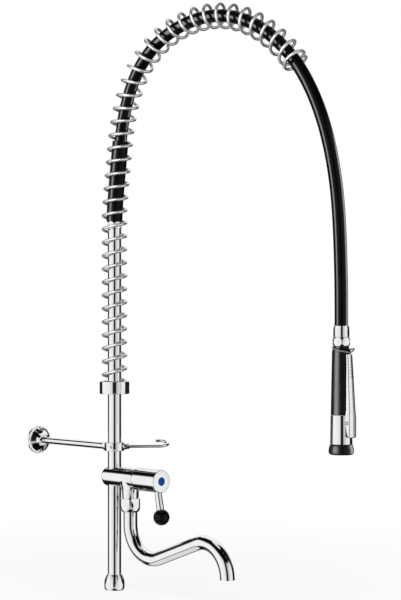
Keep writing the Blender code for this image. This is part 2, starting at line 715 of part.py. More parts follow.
def build_spout(root, swivel, chrome, rubber, white):
    """Union nut on the neck, and the swan neck that swivels in it on two O-rings and a slip ring."""
    neck_end = NECK_END_HEIGHT - NECK_THREAD_LENGTH
    flange_top = neck_end - CLEARANCE
    flange_base = flange_top - SPOUT_FLANGE_THICKNESS
    ring_top = flange_base - CLEARANCE
    ring_base = ring_top - SLIP_RING_THICKNESS
    nut_seat = ring_base - CLEARANCE
    thread = NECK_THREAD_RADIUS + CLEARANCE

    corner = SPOUT_NUT_ACROSS / math.sqrt(3)
    collar = SPOUT_RADIUS + 0.0016
    outline = [(0.0, SPOUT_NUT_TOP), (corner - 0.0012, SPOUT_NUT_TOP), (corner, SPOUT_NUT_TOP - 0.0015)]
    swell = SPOUT_NUT_HEIGHT * 0.55
    for i in range(6):
        lean = math.radians(18 * i)
        outline.append((collar + (corner - collar) * math.cos(lean), SPOUT_NUT_BASE + swell * (1 - math.sin(lean))))
    outline += [(0.0, SPOUT_NUT_BASE)]
    nut = hexed(turned(outline), SPOUT_NUT_ACROSS, SPOUT_NUT_BASE - 0.01, SPOUT_NUT_TOP + 0.01)
    nut = cut(nut, rod(SPOUT_RADIUS + CLEARANCE, SPOUT_NUT_BASE - 0.01, SPOUT_NUT_TOP, ROUND_SIDES))
    nut = cut(nut, rod(thread, nut_seat, SPOUT_NUT_TOP + 0.01, ROUND_SIDES))
    piece("spout_nut", nut, chrome, root, (0, -NECK_OFFSET, 0))

    spigot_top = neck_end + SPIGOT_LENGTH - CLEARANCE
    groove = 2 * O_RING_WIRE + CLEARANCE
    floor = SPIGOT_RADIUS - groove
    grooves = [spigot_top - 0.004 - i * 0.006 for i in range(2)]
    heights = [(spigot_top, SPIGOT_RADIUS)]
    for middle in grooves:
        half = O_RING_WIRE + CLEARANCE
        heights += [(middle + half, SPIGOT_RADIUS), (middle + half, floor), (middle - half, floor)]
        heights += [(middle - half, SPIGOT_RADIUS)]
    heights += [(flange_top, SPIGOT_RADIUS), (flange_top, NECK_THREAD_RADIUS - CLEARANCE)]
    heights += [(flange_base, NECK_THREAD_RADIUS - CLEARANCE), (flange_base, SPOUT_RADIUS)]
    down = Vector((0.0, 0.0, -1.0))
    spigot_bore = floor - SPOUT_WALL / 2
    ways = [(spigot_top, spigot_bore), (flange_base, spigot_bore)]
    skin = [(Vector((0.0, 0.0, height)), down, radius) for height, radius in heights]
    bore = [(Vector((0.0, 0.0, height)), down, radius) for height, radius in ways]
    for made, radius in ((skin, SPOUT_RADIUS), (bore, SPOUT_RADIUS - SPOUT_WALL)):
        bends = stations(spout_path(), radius)
        bends[0] = (bends[0][0], down, radius)
        bends[-1] = (bends[-1][0], down, radius)
        made += bends
    tube = swept(skin, Vector((1.0, 0.0, 0.0)), bore, MIDDLE_SIDES)
    piece("spout_tube", tube, chrome, swivel)
    for name, middle in zip(("spout_o_ring_upper", "spout_o_ring_lower"), grooves):
        outline = arc((floor + CLEARANCE / 2 + O_RING_WIRE, middle), O_RING_WIRE, 0, 300, 5)
        piece(name, turned(outline, MIDDLE_SIDES), rubber, swivel)
    slip = ring(SPOUT_RADIUS + CLEARANCE, NECK_THREAD_RADIUS - CLEARANCE, ring_base, ring_top, MIDDLE_SIDES)
    piece("spout_slip_ring", slip, white, root, (0, -NECK_OFFSET, 0))


def build_bracket(root, chrome, steel):
    """Clamp ring on the column, the arm to its wall flange, and the spray hook."""
    low = BRACKET_HEIGHT - CLAMP_HEIGHT / 2
    high = BRACKET_HEIGHT + CLAMP_HEIGHT / 2
    middle = (0, 0, BRACKET_HEIGHT)
    edge = 0.001
    outline = [(0.0, high), (CLAMP_RADIUS - edge, high), (CLAMP_RADIUS, high - edge)]
    outline += [(CLAMP_RADIUS, low + edge), (CLAMP_RADIUS - edge, low), (0.0, low)]
    to_wall = Matrix.Rotation(-math.pi / 2, 4, "X")
    to_hook = Matrix.Rotation(HOOK_TURN, 4, "Z") @ Matrix.Rotation(math.pi / 2, 4, "X")
    to_grub = Matrix.Rotation(-math.pi / 3, 4, "Z") @ Matrix.Rotation(math.pi / 2, 4, "X")
    shape = joined(
        turned(outline),
        moved(rod(CLAMP_BACK_BOSS_RADIUS, 0.0, CLAMP_BACK_BOSS_END, MIDDLE_SIDES), middle, to_wall),
        moved(rod(HOOK_BOSS_RADIUS, 0.0, HOOK_BOSS_END), middle, to_hook),
    )
    column = RISER_RADIUS + CLEARANCE
    shape = cut(
        shape,
        rod(column, low - 0.01, high + 0.01, ROUND_SIDES),
        moved(rod(ARM_SPIGOT_RADIUS + CLEARANCE, 0.0, 0.05), middle, to_wall),
        moved(rod(HOOK_RADIUS + CLEARANCE, 0.0, 0.05), middle, to_hook),
        moved(rod(GRUB_RADIUS + CLEARANCE, 0.0, 0.05), middle, to_grub),
    )
    piece("clamp_ring", shape, chrome, root)

    tip = column + CLEARANCE
    piece("clamp_grub_screw", moved(grub_screw(tip, CLAMP_RADIUS - 0.0005), middle, to_grub), steel, root)

    nut_start = CLAMP_BACK_BOSS_END + CLEARANCE
    nut_end = nut_start + LOCKNUT_LENGTH
    spigot = ARM_SPIGOT_RADIUS + CLEARANCE
    nut = hexed(rod(LOCKNUT_ACROSS * 0.56, nut_start, nut_end, MIDDLE_SIDES), LOCKNUT_ACROSS, 0.0, 0.1)
    nut = cut(nut, rod(spigot, 0.0, 0.1))
    piece("arm_locknut", moved(nut, middle, to_wall), chrome, root)

    arm_start = nut_end + CLEARANCE
    arm_end = WALL_DISTANCE - FLANGE_PLATE
    outline = [(0.0, arm_end), (ARM_RADIUS, arm_end), (ARM_RADIUS, arm_start), (ARM_SPIGOT_RADIUS, arm_start)]
    outline += [(ARM_SPIGOT_RADIUS, tip + 0.001), (0.0, tip + 0.001)]
    piece("bracket_arm", moved(turned(outline, MIDDLE_SIDES), middle, to_wall), chrome, root)

    wall = WALL_DISTANCE
    plate = wall - FLANGE_PLATE
    step = wall - FLANGE_STEP_HEIGHT
    face = wall - FLANGE_HEIGHT
    fit = ARM_RADIUS + CLEARANCE
    outline = [(0.0, wall), (FLANGE_RADIUS, wall)]
    outline += [(FLANGE_RADIUS, plate + 0.0012), (FLANGE_RADIUS - 0.0015, plate), (FLANGE_STEP_RADIUS + 0.002, plate)]
    outline += [(FLANGE_STEP_RADIUS, plate - 0.0015), (FLANGE_STEP_RADIUS - 0.001, step)]
    outline += [(FLANGE_BOSS_RADIUS + 0.0015, step), (FLANGE_BOSS_RADIUS, step - 0.0015)]
    outline += [(FLANGE_BOSS_RADIUS, face + 0.001), (FLANGE_BOSS_RADIUS - 0.001, face), (0.0, face)]
    shape = cut(turned(outline), rod(fit, 0.0, arm_end + CLEARANCE, MIDDLE_SIDES))
    for side in (-1, 1):
        hole = rod(FLANGE_HOLE_RADIUS, face, wall + 0.01, 8)
        shape = cut(shape, moved(hole, (0.0, side * FLANGE_HOLE_OFFSET, 0.0)))
    piece("wall_flange", moved(shape, middle, to_wall), chrome, root)

    nut_start = HOOK_BOSS_END + CLEARANCE
    nut_end = nut_start + HOOK_NUT_HEIGHT
    nut = hexed(rod(HOOK_NUT_ACROSS * 0.56, nut_start, nut_end), HOOK_NUT_ACROSS, 0.0, 0.1)
    nut = cut(nut, rod(HOOK_RADIUS + CLEARANCE, 0.0, 0.1))
    piece("hook_nut", moved(nut, middle, to_hook), chrome, root)
    points = [Vector((0.0, -tip, 0.0)), Vector((0.0, -(nut_end + 0.01), 0.0))]
    points += [Vector((0.0, -HOOK_STRAIGHT_END, 0.0))]
    over = Vector((math.cos(HOOK_TILT), 0.0, math.sin(HOOK_TILT)))
    centre = points[-1] + HOOK_BEND * over
    for i in range(1, 13):
        a = math.pi * i / 12
        points.append(centre + HOOK_BEND * (math.sin(a) * Vector((0.0, -1.0, 0.0)) - math.cos(a) * over))
    points.append(points[-1] + Vector((0.0, HOOK_TAIL, 0.0)))
    side = Vector((-math.sin(HOOK_TILT), 0.0, math.cos(HOOK_TILT)))
    shape = swept(stations(points, HOOK_RADIUS), side, sides=10)
    piece("hook_rod", moved(shape, middle, Matrix.Rotation(HOOK_TURN, 4, "Z")), chrome, root)


def grub_screw(tip, end):
    """A headless screw along Z with a cone point and a hexagon socket."""
    outline = [(0.0, end), (GRUB_RADIUS, end), (GRUB_RADIUS, tip + 0.001), (GRUB_RADIUS / 2, tip), (0.0, tip)]
    return cut(turned(outline, 12), hexagon(GRUB_RADIUS, end - 0.0018, end + 0.001))


def build_spring(root, arch, chrome, steel):
    """Holder cup on the column and the long guide spring that stands in it."""
    top = COLLAR_BASE + COLLAR_HEIGHT
    floor = COLLAR_BASE + COLLAR_FLOOR
    edge = COLLAR_EDGE
    cup = SPRING_RADIUS + WIRE_RADIUS + 2 * CLEARANCE
    column = RISER_RADIUS + CLEARANCE
    outline = [(cup, top - edge / 2), (cup + edge / 2, top), (COLLAR_RADIUS - edge, top)]
    outline += [(COLLAR_RADIUS, top - edge), (COLLAR_RADIUS, COLLAR_BASE + edge), (COLLAR_RADIUS - edge, COLLAR_BASE)]
    outline += [(column, COLLAR_BASE), (column, floor), (cup, floor)]
    to_wall = Matrix.Rotation(-math.pi / 2, 4, "X")
    middle = (0.0, 0.0, COLLAR_BASE + COLLAR_FLOOR / 2)
    shape = cut(turned(outline), moved(rod(GRUB_RADIUS + CLEARANCE, 0.0, 0.05), middle, to_wall))
    piece("spring_collar", shape, chrome, root)
    screw = grub_screw(column + CLEARANCE, COLLAR_RADIUS - 0.002)
    piece("collar_grub_screw", moved(screw, middle, to_wall), steel, root)

    points = spring_points(arch)
    wire_object("guide_spring", points, WIRE_RADIUS, 1, chrome, root)
    gap = least_gap(points, WIRE_RADIUS, SPRING_CURL_POINTS - 2)
    print(f"guide_spring: least gap between curls {gap * 1000:.2f} mm")


def spring_points(arch):
    """Curls wound about the hose's line: close at both ends, even up the column, wider over the bend."""
    end = arch.length_at_reach(SPRING_END_REACH)
    standing = arch.length_at_height(SPRING_STANDING_TOP)
    close = 2 * WIRE_RADIUS + 2 * CLEARANCE
    marks = [0.0, close, standing, end - close, end]
    curls = [0.0, 1.0, (standing - close) / SPRING_PITCH, (end - close - standing) / SPRING_BENT_PITCH, 1.0]
    counts = np.cumsum(curls)
    turns = np.linspace(0.0, counts[-1], round(counts[-1] * SPRING_CURL_POINTS) + 1)
    points = []
    for turn, length in zip(turns, np.interp(turns, counts, marks)):
        angle = SPRING_START_TURN + math.tau * turn
        over = arch.side.cross(arch.tangent(length))
        spoke = math.cos(angle) * arch.side - math.sin(angle) * over
        points.append(arch.point(length) + SPRING_RADIUS * spoke)
    return points


def build_hose(root, arch, chrome, rubber):
    """Nut on the column's top, the sleeve and the hose over the arch, and the crimped ferrule."""
    base = RISER_TOP + CLEARANCE
    spigot = RISER_RADIUS - RISER_WALL - CLEARANCE
    nut = ball_hex(HOSE_NUT_ACROSS, base, HOSE_NUT_HEIGHT)
    nut = joined(nut, rod(spigot, base - HOSE_NUT_SPIGOT, base + HOSE_NUT_HEIGHT / 2, MIDDLE_SIDES))
    nut = cut(nut, rod(WATERWAY_RADIUS, base - 0.03, base + 0.03, MIDDLE_SIDES))
    piece("hose_nut", nut, chrome, root)

    start = arch.hose_start + HOSE_NUT_HEIGHT + base - HOSE_ROUTE[0][1] + CLEARANCE
    steps = round((arch.end - start) / HOSE_STEP)
    hose_path = [arch.point(start + (arch.end - start) * i / steps) for i in range(steps + 1)]
    hose_path.insert(1, hose_path[0] + Vector((0.0, 0.0, HOSE_RADIUS / 3)))
    wire_object("hose", hose_path, HOSE_RADIUS, 3, rubber, root)
    print(f"hose: {arch.end - start:.3f} m long")

    sleeve = first_stretch(hose_path, SLEEVE_LENGTH)
    bore = HOSE_RADIUS + 2 * CLEARANCE
    shape = swept(stations(sleeve, SLEEVE_RADIUS), arch.side, stations(sleeve, bore), MIDDLE_SIDES)
    piece("hose_sleeve", shape, rubber, root)

    spray = arch.point(arch.end)
    top = FERRULE_BASE + FERRULE_LENGTH
    bore = HOSE_RADIUS + 2 * CLEARANCE
    stem_end = SPRAY_NUT_TOP - SPRAY_NUT_ROOF - CLEARANCE
    outline = [(bore, top), (bore + 0.0006, top), (FERRULE_RADIUS, top - FERRULE_CHAMFER)]
    outline += [(FERRULE_RADIUS, FERRULE_BASE + 0.0006), (FERRULE_RADIUS - 0.0006, FERRULE_BASE)]
    outline += [(STEM_RADIUS, FERRULE_BASE), (STEM_RADIUS, stem_end), (STEM_COLLAR_RADIUS, stem_end)]
    outline += [(STEM_COLLAR_RADIUS, stem_end - STEM_COLLAR_HEIGHT), (TUBE_BORE, stem_end - STEM_COLLAR_HEIGHT)]
    outline += [(TUBE_BORE, FERRULE_BASE + FERRULE_FLOOR), (bore, FERRULE_BASE + FERRULE_FLOOR)]
    piece("hose_ferrule", turned(outline, MIDDLE_SIDES), chrome, root, (spray.x, spray.y, 0.0))
    return spray


def build_spray(swivel, chrome, rubber, black, steel):
    """Swivel nut, chromed body with its inlet tube, grip, bumper and spray face."""
    roof = SPRAY_NUT_TOP - SPRAY_NUT_ROOF
    cavity = STEM_COLLAR_RADIUS + 2 * CLEARANCE
    nut = ball_hex(SPRAY_NUT_ACROSS, SPRAY_NUT_BASE, SPRAY_NUT_HEIGHT)
    outline = [(0.0, SPRAY_NUT_TOP + 0.01), (STEM_RADIUS + CLEARANCE, SPRAY_NUT_TOP + 0.01)]
    outline += [(STEM_RADIUS + CLEARANCE, roof), (cavity, roof), (cavity, SPRAY_NUT_BASE - 0.01)]
    outline += [(0.0, SPRAY_NUT_BASE - 0.01)]
    piece("spray_swivel_nut", cut(nut, turned(outline, MIDDLE_SIDES)), chrome, swivel)

    washer_top = roof - STEM_COLLAR_HEIGHT - 2 * CLEARANCE
    washer_base = washer_top - WASHER_THICKNESS
    piece("spray_washer", ring(TUBE_BORE, STEM_COLLAR_RADIUS, washer_base, washer_top, MIDDLE_SIDES), rubber, swivel)

    tube_top = washer_base - CLEARANCE
    nose = SPRAY_BODY_BASE - NOSE_LENGTH
    chamber_top = nose + CHAMBER_HEIGHT
    outline = [(TUBE_BORE, tube_top), (TUBE_RADIUS, tube_top), (TUBE_RADIUS, SPRAY_BODY_TOP)]
    outline += [(SPRAY_BODY_TOP_RADIUS, SPRAY_BODY_TOP), (SPRAY_BODY_END_RADIUS, SPRAY_BODY_BASE)]
    outline += [(NOSE_RADIUS, SPRAY_BODY_BASE), (NOSE_RADIUS, nose), (CHAMBER_RADIUS, nose)]
    outline += [(CHAMBER_RADIUS, chamber_top - CHAMBER_RADIUS + TUBE_BORE), (TUBE_BORE, chamber_top)]
    shape = turned(outline)
    inside = LEVER_LOW_WIDTH - 2 * SHEET
    lug = inside / 2 - 2 * CLEARANCE
    pivot = (0.0, -PIVOT_FORWARD, PIVOT_HEIGHT)
    root_face = -SPRAY_BODY_TOP_RADIUS + 0.004
    shape = joined(
        shape,
        box((-lug, -PIVOT_FORWARD, PIVOT_HEIGHT - LUG_RADIUS), (lug, root_face, PIVOT_HEIGHT + LUG_RADIUS)),
        moved(along_x(rod(LUG_RADIUS, -lug, lug)), pivot),
    )
    shape = cut(
        shape,
        moved(along_x(rod(PIN_RADIUS + CLEARANCE, -0.02, 0.02, 12)), pivot),
        moved(along_y(rod(PLUNGER_RADIUS + CLEARANCE, 0.0, 0.05)), (0.0, 0.0, PLUNGER_HEIGHT)),
    )
    piece("spray_body", shape, chrome, swivel)

    bore = TUBE_RADIUS + CLEARANCE
    neck_end = GRIP_TOP - GRIP_NECK_LENGTH
    shoulder = neck_end - GRIP_SHOULDER_LENGTH
    outline = [(bore, GRIP_TOP), (GRIP_NECK_RADIUS, GRIP_TOP), (GRIP_NECK_RADIUS, neck_end)]
    swell = GRIP_TOP_RADIUS - GRIP_NECK_RADIUS
    for i in range(1, 6):
        lean = math.radians(18 * i)
        outline.append(
            (GRIP_NECK_RADIUS + swell * math.sin(lean), shoulder + GRIP_SHOULDER_LENGTH * math.cos(lean))
        )
    outline += [(GRIP_END_RADIUS, GRIP_BASE), (bore, GRIP_BASE)]
    hole = along_y(rod(PLUNGER_HEAD_RADIUS + 2 * CLEARANCE, 0.0, 0.05))
    shape = cut(turned(outline), moved(hole, (0.0, 0.0, PLUNGER_HEIGHT)))
    piece("spray_grip", shape, black, swivel)

    top = SPRAY_BODY_BASE - CLEARANCE
    low = top - BUMPER_HEIGHT
    fit = NOSE_RADIUS + CLEARANCE
    outline = [(fit, top), (SPRAY_BODY_END_RADIUS + 0.0004, top)]
    outline += [(BUMPER_RADIUS - 0.0008, top - BUMPER_HEIGHT * 0.36), (BUMPER_RADIUS, top - BUMPER_HEIGHT * 0.55)]
    outline += [(BUMPER_RADIUS - 0.0004, low + BUMPER_HEIGHT * 0.18), (BUMPER_RADIUS - 0.0022, low + 0.0008)]
    outline += [(BUMPER_RADIUS - 0.0036, low), (fit, low)]
    piece("spray_bumper", turned(outline), rubber, swivel)

    face_top = nose - CLEARANCE
    face_base = face_top - FACE_THICKNESS
    shape = rod(NOSE_RADIUS, face_base, face_top, ROUND_SIDES)
    for radius, count in FACE_RINGS:
        for i in range(count):
            angle = math.tau * i / count
            hole = rod(FACE_HOLE_RADIUS, face_base - 0.001, face_top + 0.001, 6)
            shape = cut(shape, moved(hole, (radius * math.cos(angle), radius * math.sin(angle), 0.0)))
    piece("spray_face", shape, steel, swivel)


def lever_forward(height):
    """How far the lever's outer face stands forward of the spray's axis at a height."""
    share = (LEVER_TOP - height) / (LEVER_TOP - (PIVOT_HEIGHT + LEVER_SHOULDER_ABOVE))
    return LEVER_TOP_FORWARD + (LEVER_LOW_FORWARD - LEVER_TOP_FORWARD) * min(1.0, share)


def grip_radius(height):
    """The radius of the grip or of the body below it, which the lever's edges stay clear of."""
    if height < GRIP_BASE:
        share = (SPRAY_BODY_TOP - height) / BODY_LENGTH
        return SPRAY_BODY_TOP_RADIUS + (SPRAY_BODY_END_RADIUS - SPRAY_BODY_TOP_RADIUS) * share
    share = (GRIP_TOP - height) / GRIP_LENGTH
    return GRIP_TOP_RADIUS + (GRIP_END_RADIUS - GRIP_TOP_RADIUS) * share


def lever_section(height, width):
    """The lever's channel at one height: its web in front and two flanges back to the grip.

    Below the pin the flanges are cut back, because that end swings in as the lever swings out.
    """
    half = width / 2
    front = -lever_forward(height)
    swing = max(0.0, PIVOT_HEIGHT - height) * math.tan(LEVER_SWING)
    edge = -math.sqrt(grip_radius(height) ** 2 - (half - SHEET) ** 2) - 3 * CLEARANCE - swing
    soft = SHEET * 0.6
    outer = [(half, edge), (half, front + soft), (half - soft, front)]
    inner = [(half - SHEET, front + SHEET), (half - SHEET, edge)]
    outline = outer + [(-x, y) for x, y in reversed(outer)]
    outline += [(-x, y) for x, y in reversed(inner)] + inner
    return [Vector((x, y, height)) for x, y in outline]


def build_lever(swivel, hinge, slide, chrome, steel):
    """Pressed channel lever on its pin, and the plunger that it works, with the return spring."""
    shoulder = PIVOT_HEIGHT + LEVER_SHOULDER_ABOVE
    low = PIVOT_HEIGHT - LEVER_BELOW_PIVOT
    stations = [
        (LEVER_TOP, LEVER_TOP_WIDTH),
        (shoulder + 0.010, LEVER_MID_WIDTH),
        (shoulder, LEVER_LOW_WIDTH - 0.001),
        (shoulder - 0.005, LEVER_LOW_WIDTH),
        (PIVOT_HEIGHT, LEVER_LOW_WIDTH),
        (low + LEVER_CORNER, LEVER_LOW_WIDTH),
        (low, LEVER_LOW_WIDTH - LEVER_CORNER),
    ]
    shape = bmesh.new()
    loops = []
    for height, width in stations:
        loops.append([shape.verts.new(point) for point in lever_section(height, width)])
    for first, second in zip(loops, loops[1:]):
        for i in range(len(first)):
            shape.faces.new((first[i - 1], first[i], second[i], second[i - 1]))
    shape.faces.new(loops[0])
    shape.faces.new(loops[-1])
    shape = facing_out(shape)
    pivot = Vector((0.0, -PIVOT_FORWARD, PIVOT_HEIGHT))
    shape = cut(shape, moved(along_x(rod(PIN_RADIUS + CLEARANCE, -0.02, 0.02, 12)), pivot))
    piece("spray_lever", moved(shape, -pivot), chrome, hinge)

    half = LEVER_LOW_WIDTH / 2 + CLEARANCE
    end = half + PIN_HEAD_HEIGHT
    outline = [(0.0, end), (PIN_HEAD_RADIUS - 0.0008, end), (PIN_HEAD_RADIUS, half + 0.0004)]
    outline += [(PIN_HEAD_RADIUS, half), (PIN_RADIUS, half)]
    outline += [(radius, -height) for radius, height in reversed(outline)]
    piece("lever_pin", moved(along_x(turned(outline, 10)), pivot), steel, swivel)

    tip = lever_forward(PLUNGER_HEIGHT) - SHEET - 2 * CLEARANCE
    head = tip - PLUNGER_HEAD
    outline = [(0.0, tip), (PLUNGER_HEAD_RADIUS - 0.0012, tip), (PLUNGER_HEAD_RADIUS, tip - 0.0008)]
    outline += [(PLUNGER_HEAD_RADIUS, head), (PLUNGER_RADIUS, head)]
    outline += [(PLUNGER_RADIUS, -PLUNGER_INNER_END), (0.0, -PLUNGER_INNER_END)]
    piece("plunger", along_y(turned(outline, SMALL_SIDES)), steel, slide)

    start = TUBE_RADIUS + CLEARANCE + PLUNGER_SPRING_WIRE
    end = head - CLEARANCE - PLUNGER_SPRING_WIRE
    radius = PLUNGER_RADIUS + PLUNGER_SPRING_WIRE + 2 * CLEARANCE
    count = PLUNGER_SPRING_TURNS * 8
    points = []
    for i in range(count + 1):
        angle = math.tau * PLUNGER_SPRING_TURNS * i / count
        forward = start + (end - start) * i / count
        points.append(Vector((radius * math.cos(angle), -forward, radius * math.sin(angle))))
    wire_object("plunger_spring", points, PLUNGER_SPRING_WIRE, 1, steel, slide)
    gap = least_gap(points, PLUNGER_SPRING_WIRE, 6)
    print(f"plunger_spring: least gap between curls {gap * 1000:.2f} mm")


def build_lock_ring(hinge, steel):
    """The wire ring that hangs about the grip's neck and drops over the lever's end."""
    far = RING_NOSE_FORWARD - RING_BACK_FORWARD
    lean = math.degrees(math.asin((RING_BACK_RADIUS - RING_NOSE_RADIUS) / far))
    nose = arc((0.0, -RING_NOSE_FORWARD), RING_NOSE_RADIUS, -180 + lean, -lean, 8)
    back = arc((0.0, -RING_BACK_FORWARD), RING_BACK_RADIUS, -lean, 180 + lean, 14)
    points = [Vector((x, y, 0.0)) for x, y in nose + back]
    shape = swept(stations(points, RING_WIRE, True), Vector((0.0, 0.0, 1.0)), sides=6, closed=True)
    back_edge = RING_BACK_RADIUS - RING_BACK_FORWARD
    shape = moved(moved(shape, (0.0, -back_edge, 0.0)), turn=Matrix.Rotation(RING_TILT, 4, "X"))
    piece("lock_ring", shape, steel, hinge)


def build():
    clear_scene()
    chrome = finish_of("polished_chrome", (0.80, 0.81, 0.82), 0.06, 1.0)
    steel = finish_of("stainless_steel", (0.62, 0.63, 0.64), 0.25, 1.0)
    brass = finish_of("brass", (0.71, 0.56, 0.27), 0.30, 1.0)
    rubber = finish_of("black_rubber", (0.018, 0.018, 0.019), 0.42, 0.0)
    black = finish_of("black_plastic", (0.020, 0.021, 0.022), 0.30, 0.0)
    blue = finish_of("blue_enamel", (0.020, 0.105, 0.420), 0.25, 0.0)
    white = finish_of("white_nylon", (0.78, 0.78, 0.76), 0.45, 0.0)
    ceramic = finish_of("ceramic", (0.86, 0.84, 0.80), 0.18, 0.0)

    arch = Arch()
    root = axis_empty("column", (0.0, 0.0, 0.0))
    flat = (math.pi / 2, 0.0, 0.0)
    valve_axis = axis_empty("valve_axis", (0.0, 0.0, VALVE_HEIGHT), flat, root)
    handle_axis = axis_empty("handle_axis", (0.0, 0.0, VALVE_HEIGHT), flat, root)
    spout_axis = axis_empty("spout_axis", (0.0, -NECK_OFFSET, 0.0), parent=root)

    build_column(root, chrome, rubber)
    build_valve_body(root, chrome)
    build_headwork(valve_axis, handle_axis, brass, rubber, ceramic)
    build_handle(handle_axis, chrome, black, blue, steel)
    build_spout(root, spout_axis, chrome, rubber, white)
    build_bracket(root, chrome, steel)
    build_spring(root, arch, chrome, steel)
    spray = build_hose(root, arch, chrome, rubber)

    spray_axis = axis_empty("spray_axis", (spray.x, spray.y, 0.0), parent=root)
    lever_axis = axis_empty("lever_axis", (0.0, -PIVOT_FORWARD, PIVOT_HEIGHT), parent=spray_axis)
    plunger_axis = axis_empty("plunger_axis", (0.0, 0.0, PLUNGER_HEIGHT), parent=spray_axis)
    ring_place = (0.0, RING_BACK_RADIUS - RING_BACK_FORWARD, GRIP_TOP - RING_SEAT_DROP)
    ring_axis = axis_empty("ring_axis", ring_place, parent=spray_axis)
    build_spray(spray_axis, chrome, rubber, black, steel)
    build_lever(spray_axis, lever_axis, plunger_axis, chrome, steel)
    build_lock_ring(ring_axis, steel)
    bpy.context.view_layer.update()


build()
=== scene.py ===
"""Pre-rinse faucet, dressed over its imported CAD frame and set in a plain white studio.

Metres, +Z up. The column stands on the origin, -Y faces the user and +Y the wall.
"""

from math import acos, asin, copysign, cos, degrees, hypot, pi, radians, sin, sqrt, tan, tau

import bpy
import numpy as np
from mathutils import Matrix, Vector


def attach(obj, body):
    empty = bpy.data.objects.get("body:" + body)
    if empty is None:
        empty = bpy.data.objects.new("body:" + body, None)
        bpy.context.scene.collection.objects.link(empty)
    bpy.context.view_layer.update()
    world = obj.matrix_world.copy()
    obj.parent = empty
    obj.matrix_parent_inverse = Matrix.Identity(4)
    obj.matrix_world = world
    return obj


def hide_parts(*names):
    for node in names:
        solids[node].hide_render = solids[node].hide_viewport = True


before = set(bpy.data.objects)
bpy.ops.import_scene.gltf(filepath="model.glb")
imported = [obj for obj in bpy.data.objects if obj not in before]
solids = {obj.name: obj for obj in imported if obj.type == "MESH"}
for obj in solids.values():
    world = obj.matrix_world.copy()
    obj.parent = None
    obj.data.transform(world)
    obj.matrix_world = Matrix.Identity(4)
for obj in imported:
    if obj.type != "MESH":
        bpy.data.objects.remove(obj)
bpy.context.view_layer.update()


# Base union nut: a forged brass hexagon with a domed top, bored for the column and plated with chrome. It
# screws onto the supply under the deck and draws the column's flanged tail down onto a black gasket.
def chosen(piece):
    """Makes a piece the only one that the next operators act on."""
    bpy.ops.object.select_all(action="DESELECT")
    piece.select_set(True)
    bpy.context.view_layer.objects.active = piece


def started(name, add, **settings):
    """Starts a piece from a primitive, with its place kept in its mesh."""
    bpy.ops.object.select_all(action="DESELECT")
    add(**settings)
    piece = bpy.context.object
    piece.name = name
    bpy.ops.object.transform_apply(location=True, rotation=True, scale=True)
    return piece


def opened(piece):
    """Opens a piece for editing, with all of its mesh selected."""
    chosen(piece)
    bpy.ops.object.mode_set(mode="EDIT")
    bpy.ops.mesh.select_all(action="SELECT")
    return piece


def drawn(step, scale=None):
    """Extrudes what is selected by a step, and scales it there."""
    bpy.ops.mesh.extrude_region_move(TRANSFORM_OT_translate={"value": step})
    if scale:
        bpy.ops.transform.resize(value=scale)


def drawn_along(outline):
    """Extrudes the selected ring through the points of an outline, up and down +Z."""
    for start, end in zip(outline, outline[1:]):
        drawn((0, 0, end[-1] - start[-1]), (end[0] / start[0], end[-2] / start[-2], 1))


def closed(ends=False):
    """Fills open ends where asked, merges doubled points, turns the faces outwards and ends the editing."""
    bpy.ops.mesh.select_all(action="SELECT")
    if ends:
        bpy.ops.mesh.fill_holes(sides=0)
    bpy.ops.mesh.remove_doubles(threshold=1e-6)
    bpy.ops.mesh.normals_make_consistent(inside=False)
    bpy.ops.object.mode_set(mode="OBJECT")


def turned(name, outline, sides=96, hollow=True):
    """Turns an outline of (radius, height) points about +Z, as a lathe does. Two radii make a ring oval.

    A hollow piece's outline closes on itself; the first and last rings of a solid one are filled.
    """
    first = {"radius": outline[0][0], "location": (0, 0, outline[0][-1])}
    piece = opened(started(name, bpy.ops.mesh.primitive_circle_add, vertices=sides, **first))
    drawn_along(outline + outline[:1] if hollow else outline)
    closed(ends=not hollow)
    return piece


def stepped(start, *steps):
    """Points of an outline's square steps, each given by its radius and the height where it ends.

    What is broken off its first and last edges may follow, as negative sizes in a bore.
    """
    points = []
    for radius, end, *edges in steps:
        first, last = edges or (0, 0)
        way = copysign(1, end - start)
        points += [(radius - first, start)] if first else []
        points += [(radius, start + way * abs(first)), (radius, end - way * abs(last))]
        points += [(radius - last, end)] if last else []
        start = end
    return points


def applied(piece, kind, **settings):
    """Puts one modifier on a piece and applies it."""
    chosen(piece)
    change = piece.modifiers.new(kind.lower(), kind)
    for name, value in settings.items():
        setattr(change, name, value)
    bpy.ops.object.modifier_apply(modifier=change.name)
    return piece


def softened(piece, width, segments, angle):
    """Breaks the edges of a piece that are sharper than an angle."""
    limit = {"limit_method": "ANGLE", "angle_limit": radians(angle)}
    return applied(piece, "BEVEL", width=width, segments=segments, **limit)


def combined(piece, tool, operation):
    """Joins a tool to a piece, cuts it out, or keeps what the two share. The tool is used up."""
    applied(piece, "BOOLEAN", operation=operation, solver="EXACT", object=tool)
    bpy.data.objects.remove(tool, do_unlink=True)
    return piece


def six_flats(piece, across, corner=0.0006):
    """Mills six flats on a turned piece, with their corners just broken."""
    size = {"radius": across / sqrt(3), "depth": 2.0, "rotation": (0, 0, radians(-43))}
    bar = started("flats", bpy.ops.mesh.primitive_cylinder_add, vertices=6, **size)
    return combined(piece, softened(bar, corner, 2, 40), "INTERSECT")


def put(piece, place=(0, 0, 0), turn=(0, 0, 0)):
    """Moves a piece to where it belongs and keeps that place in its mesh."""
    chosen(piece)
    piece.location = place
    piece.rotation_euler = turn
    bpy.ops.object.transform_apply(location=True, rotation=True, scale=True)
    return piece


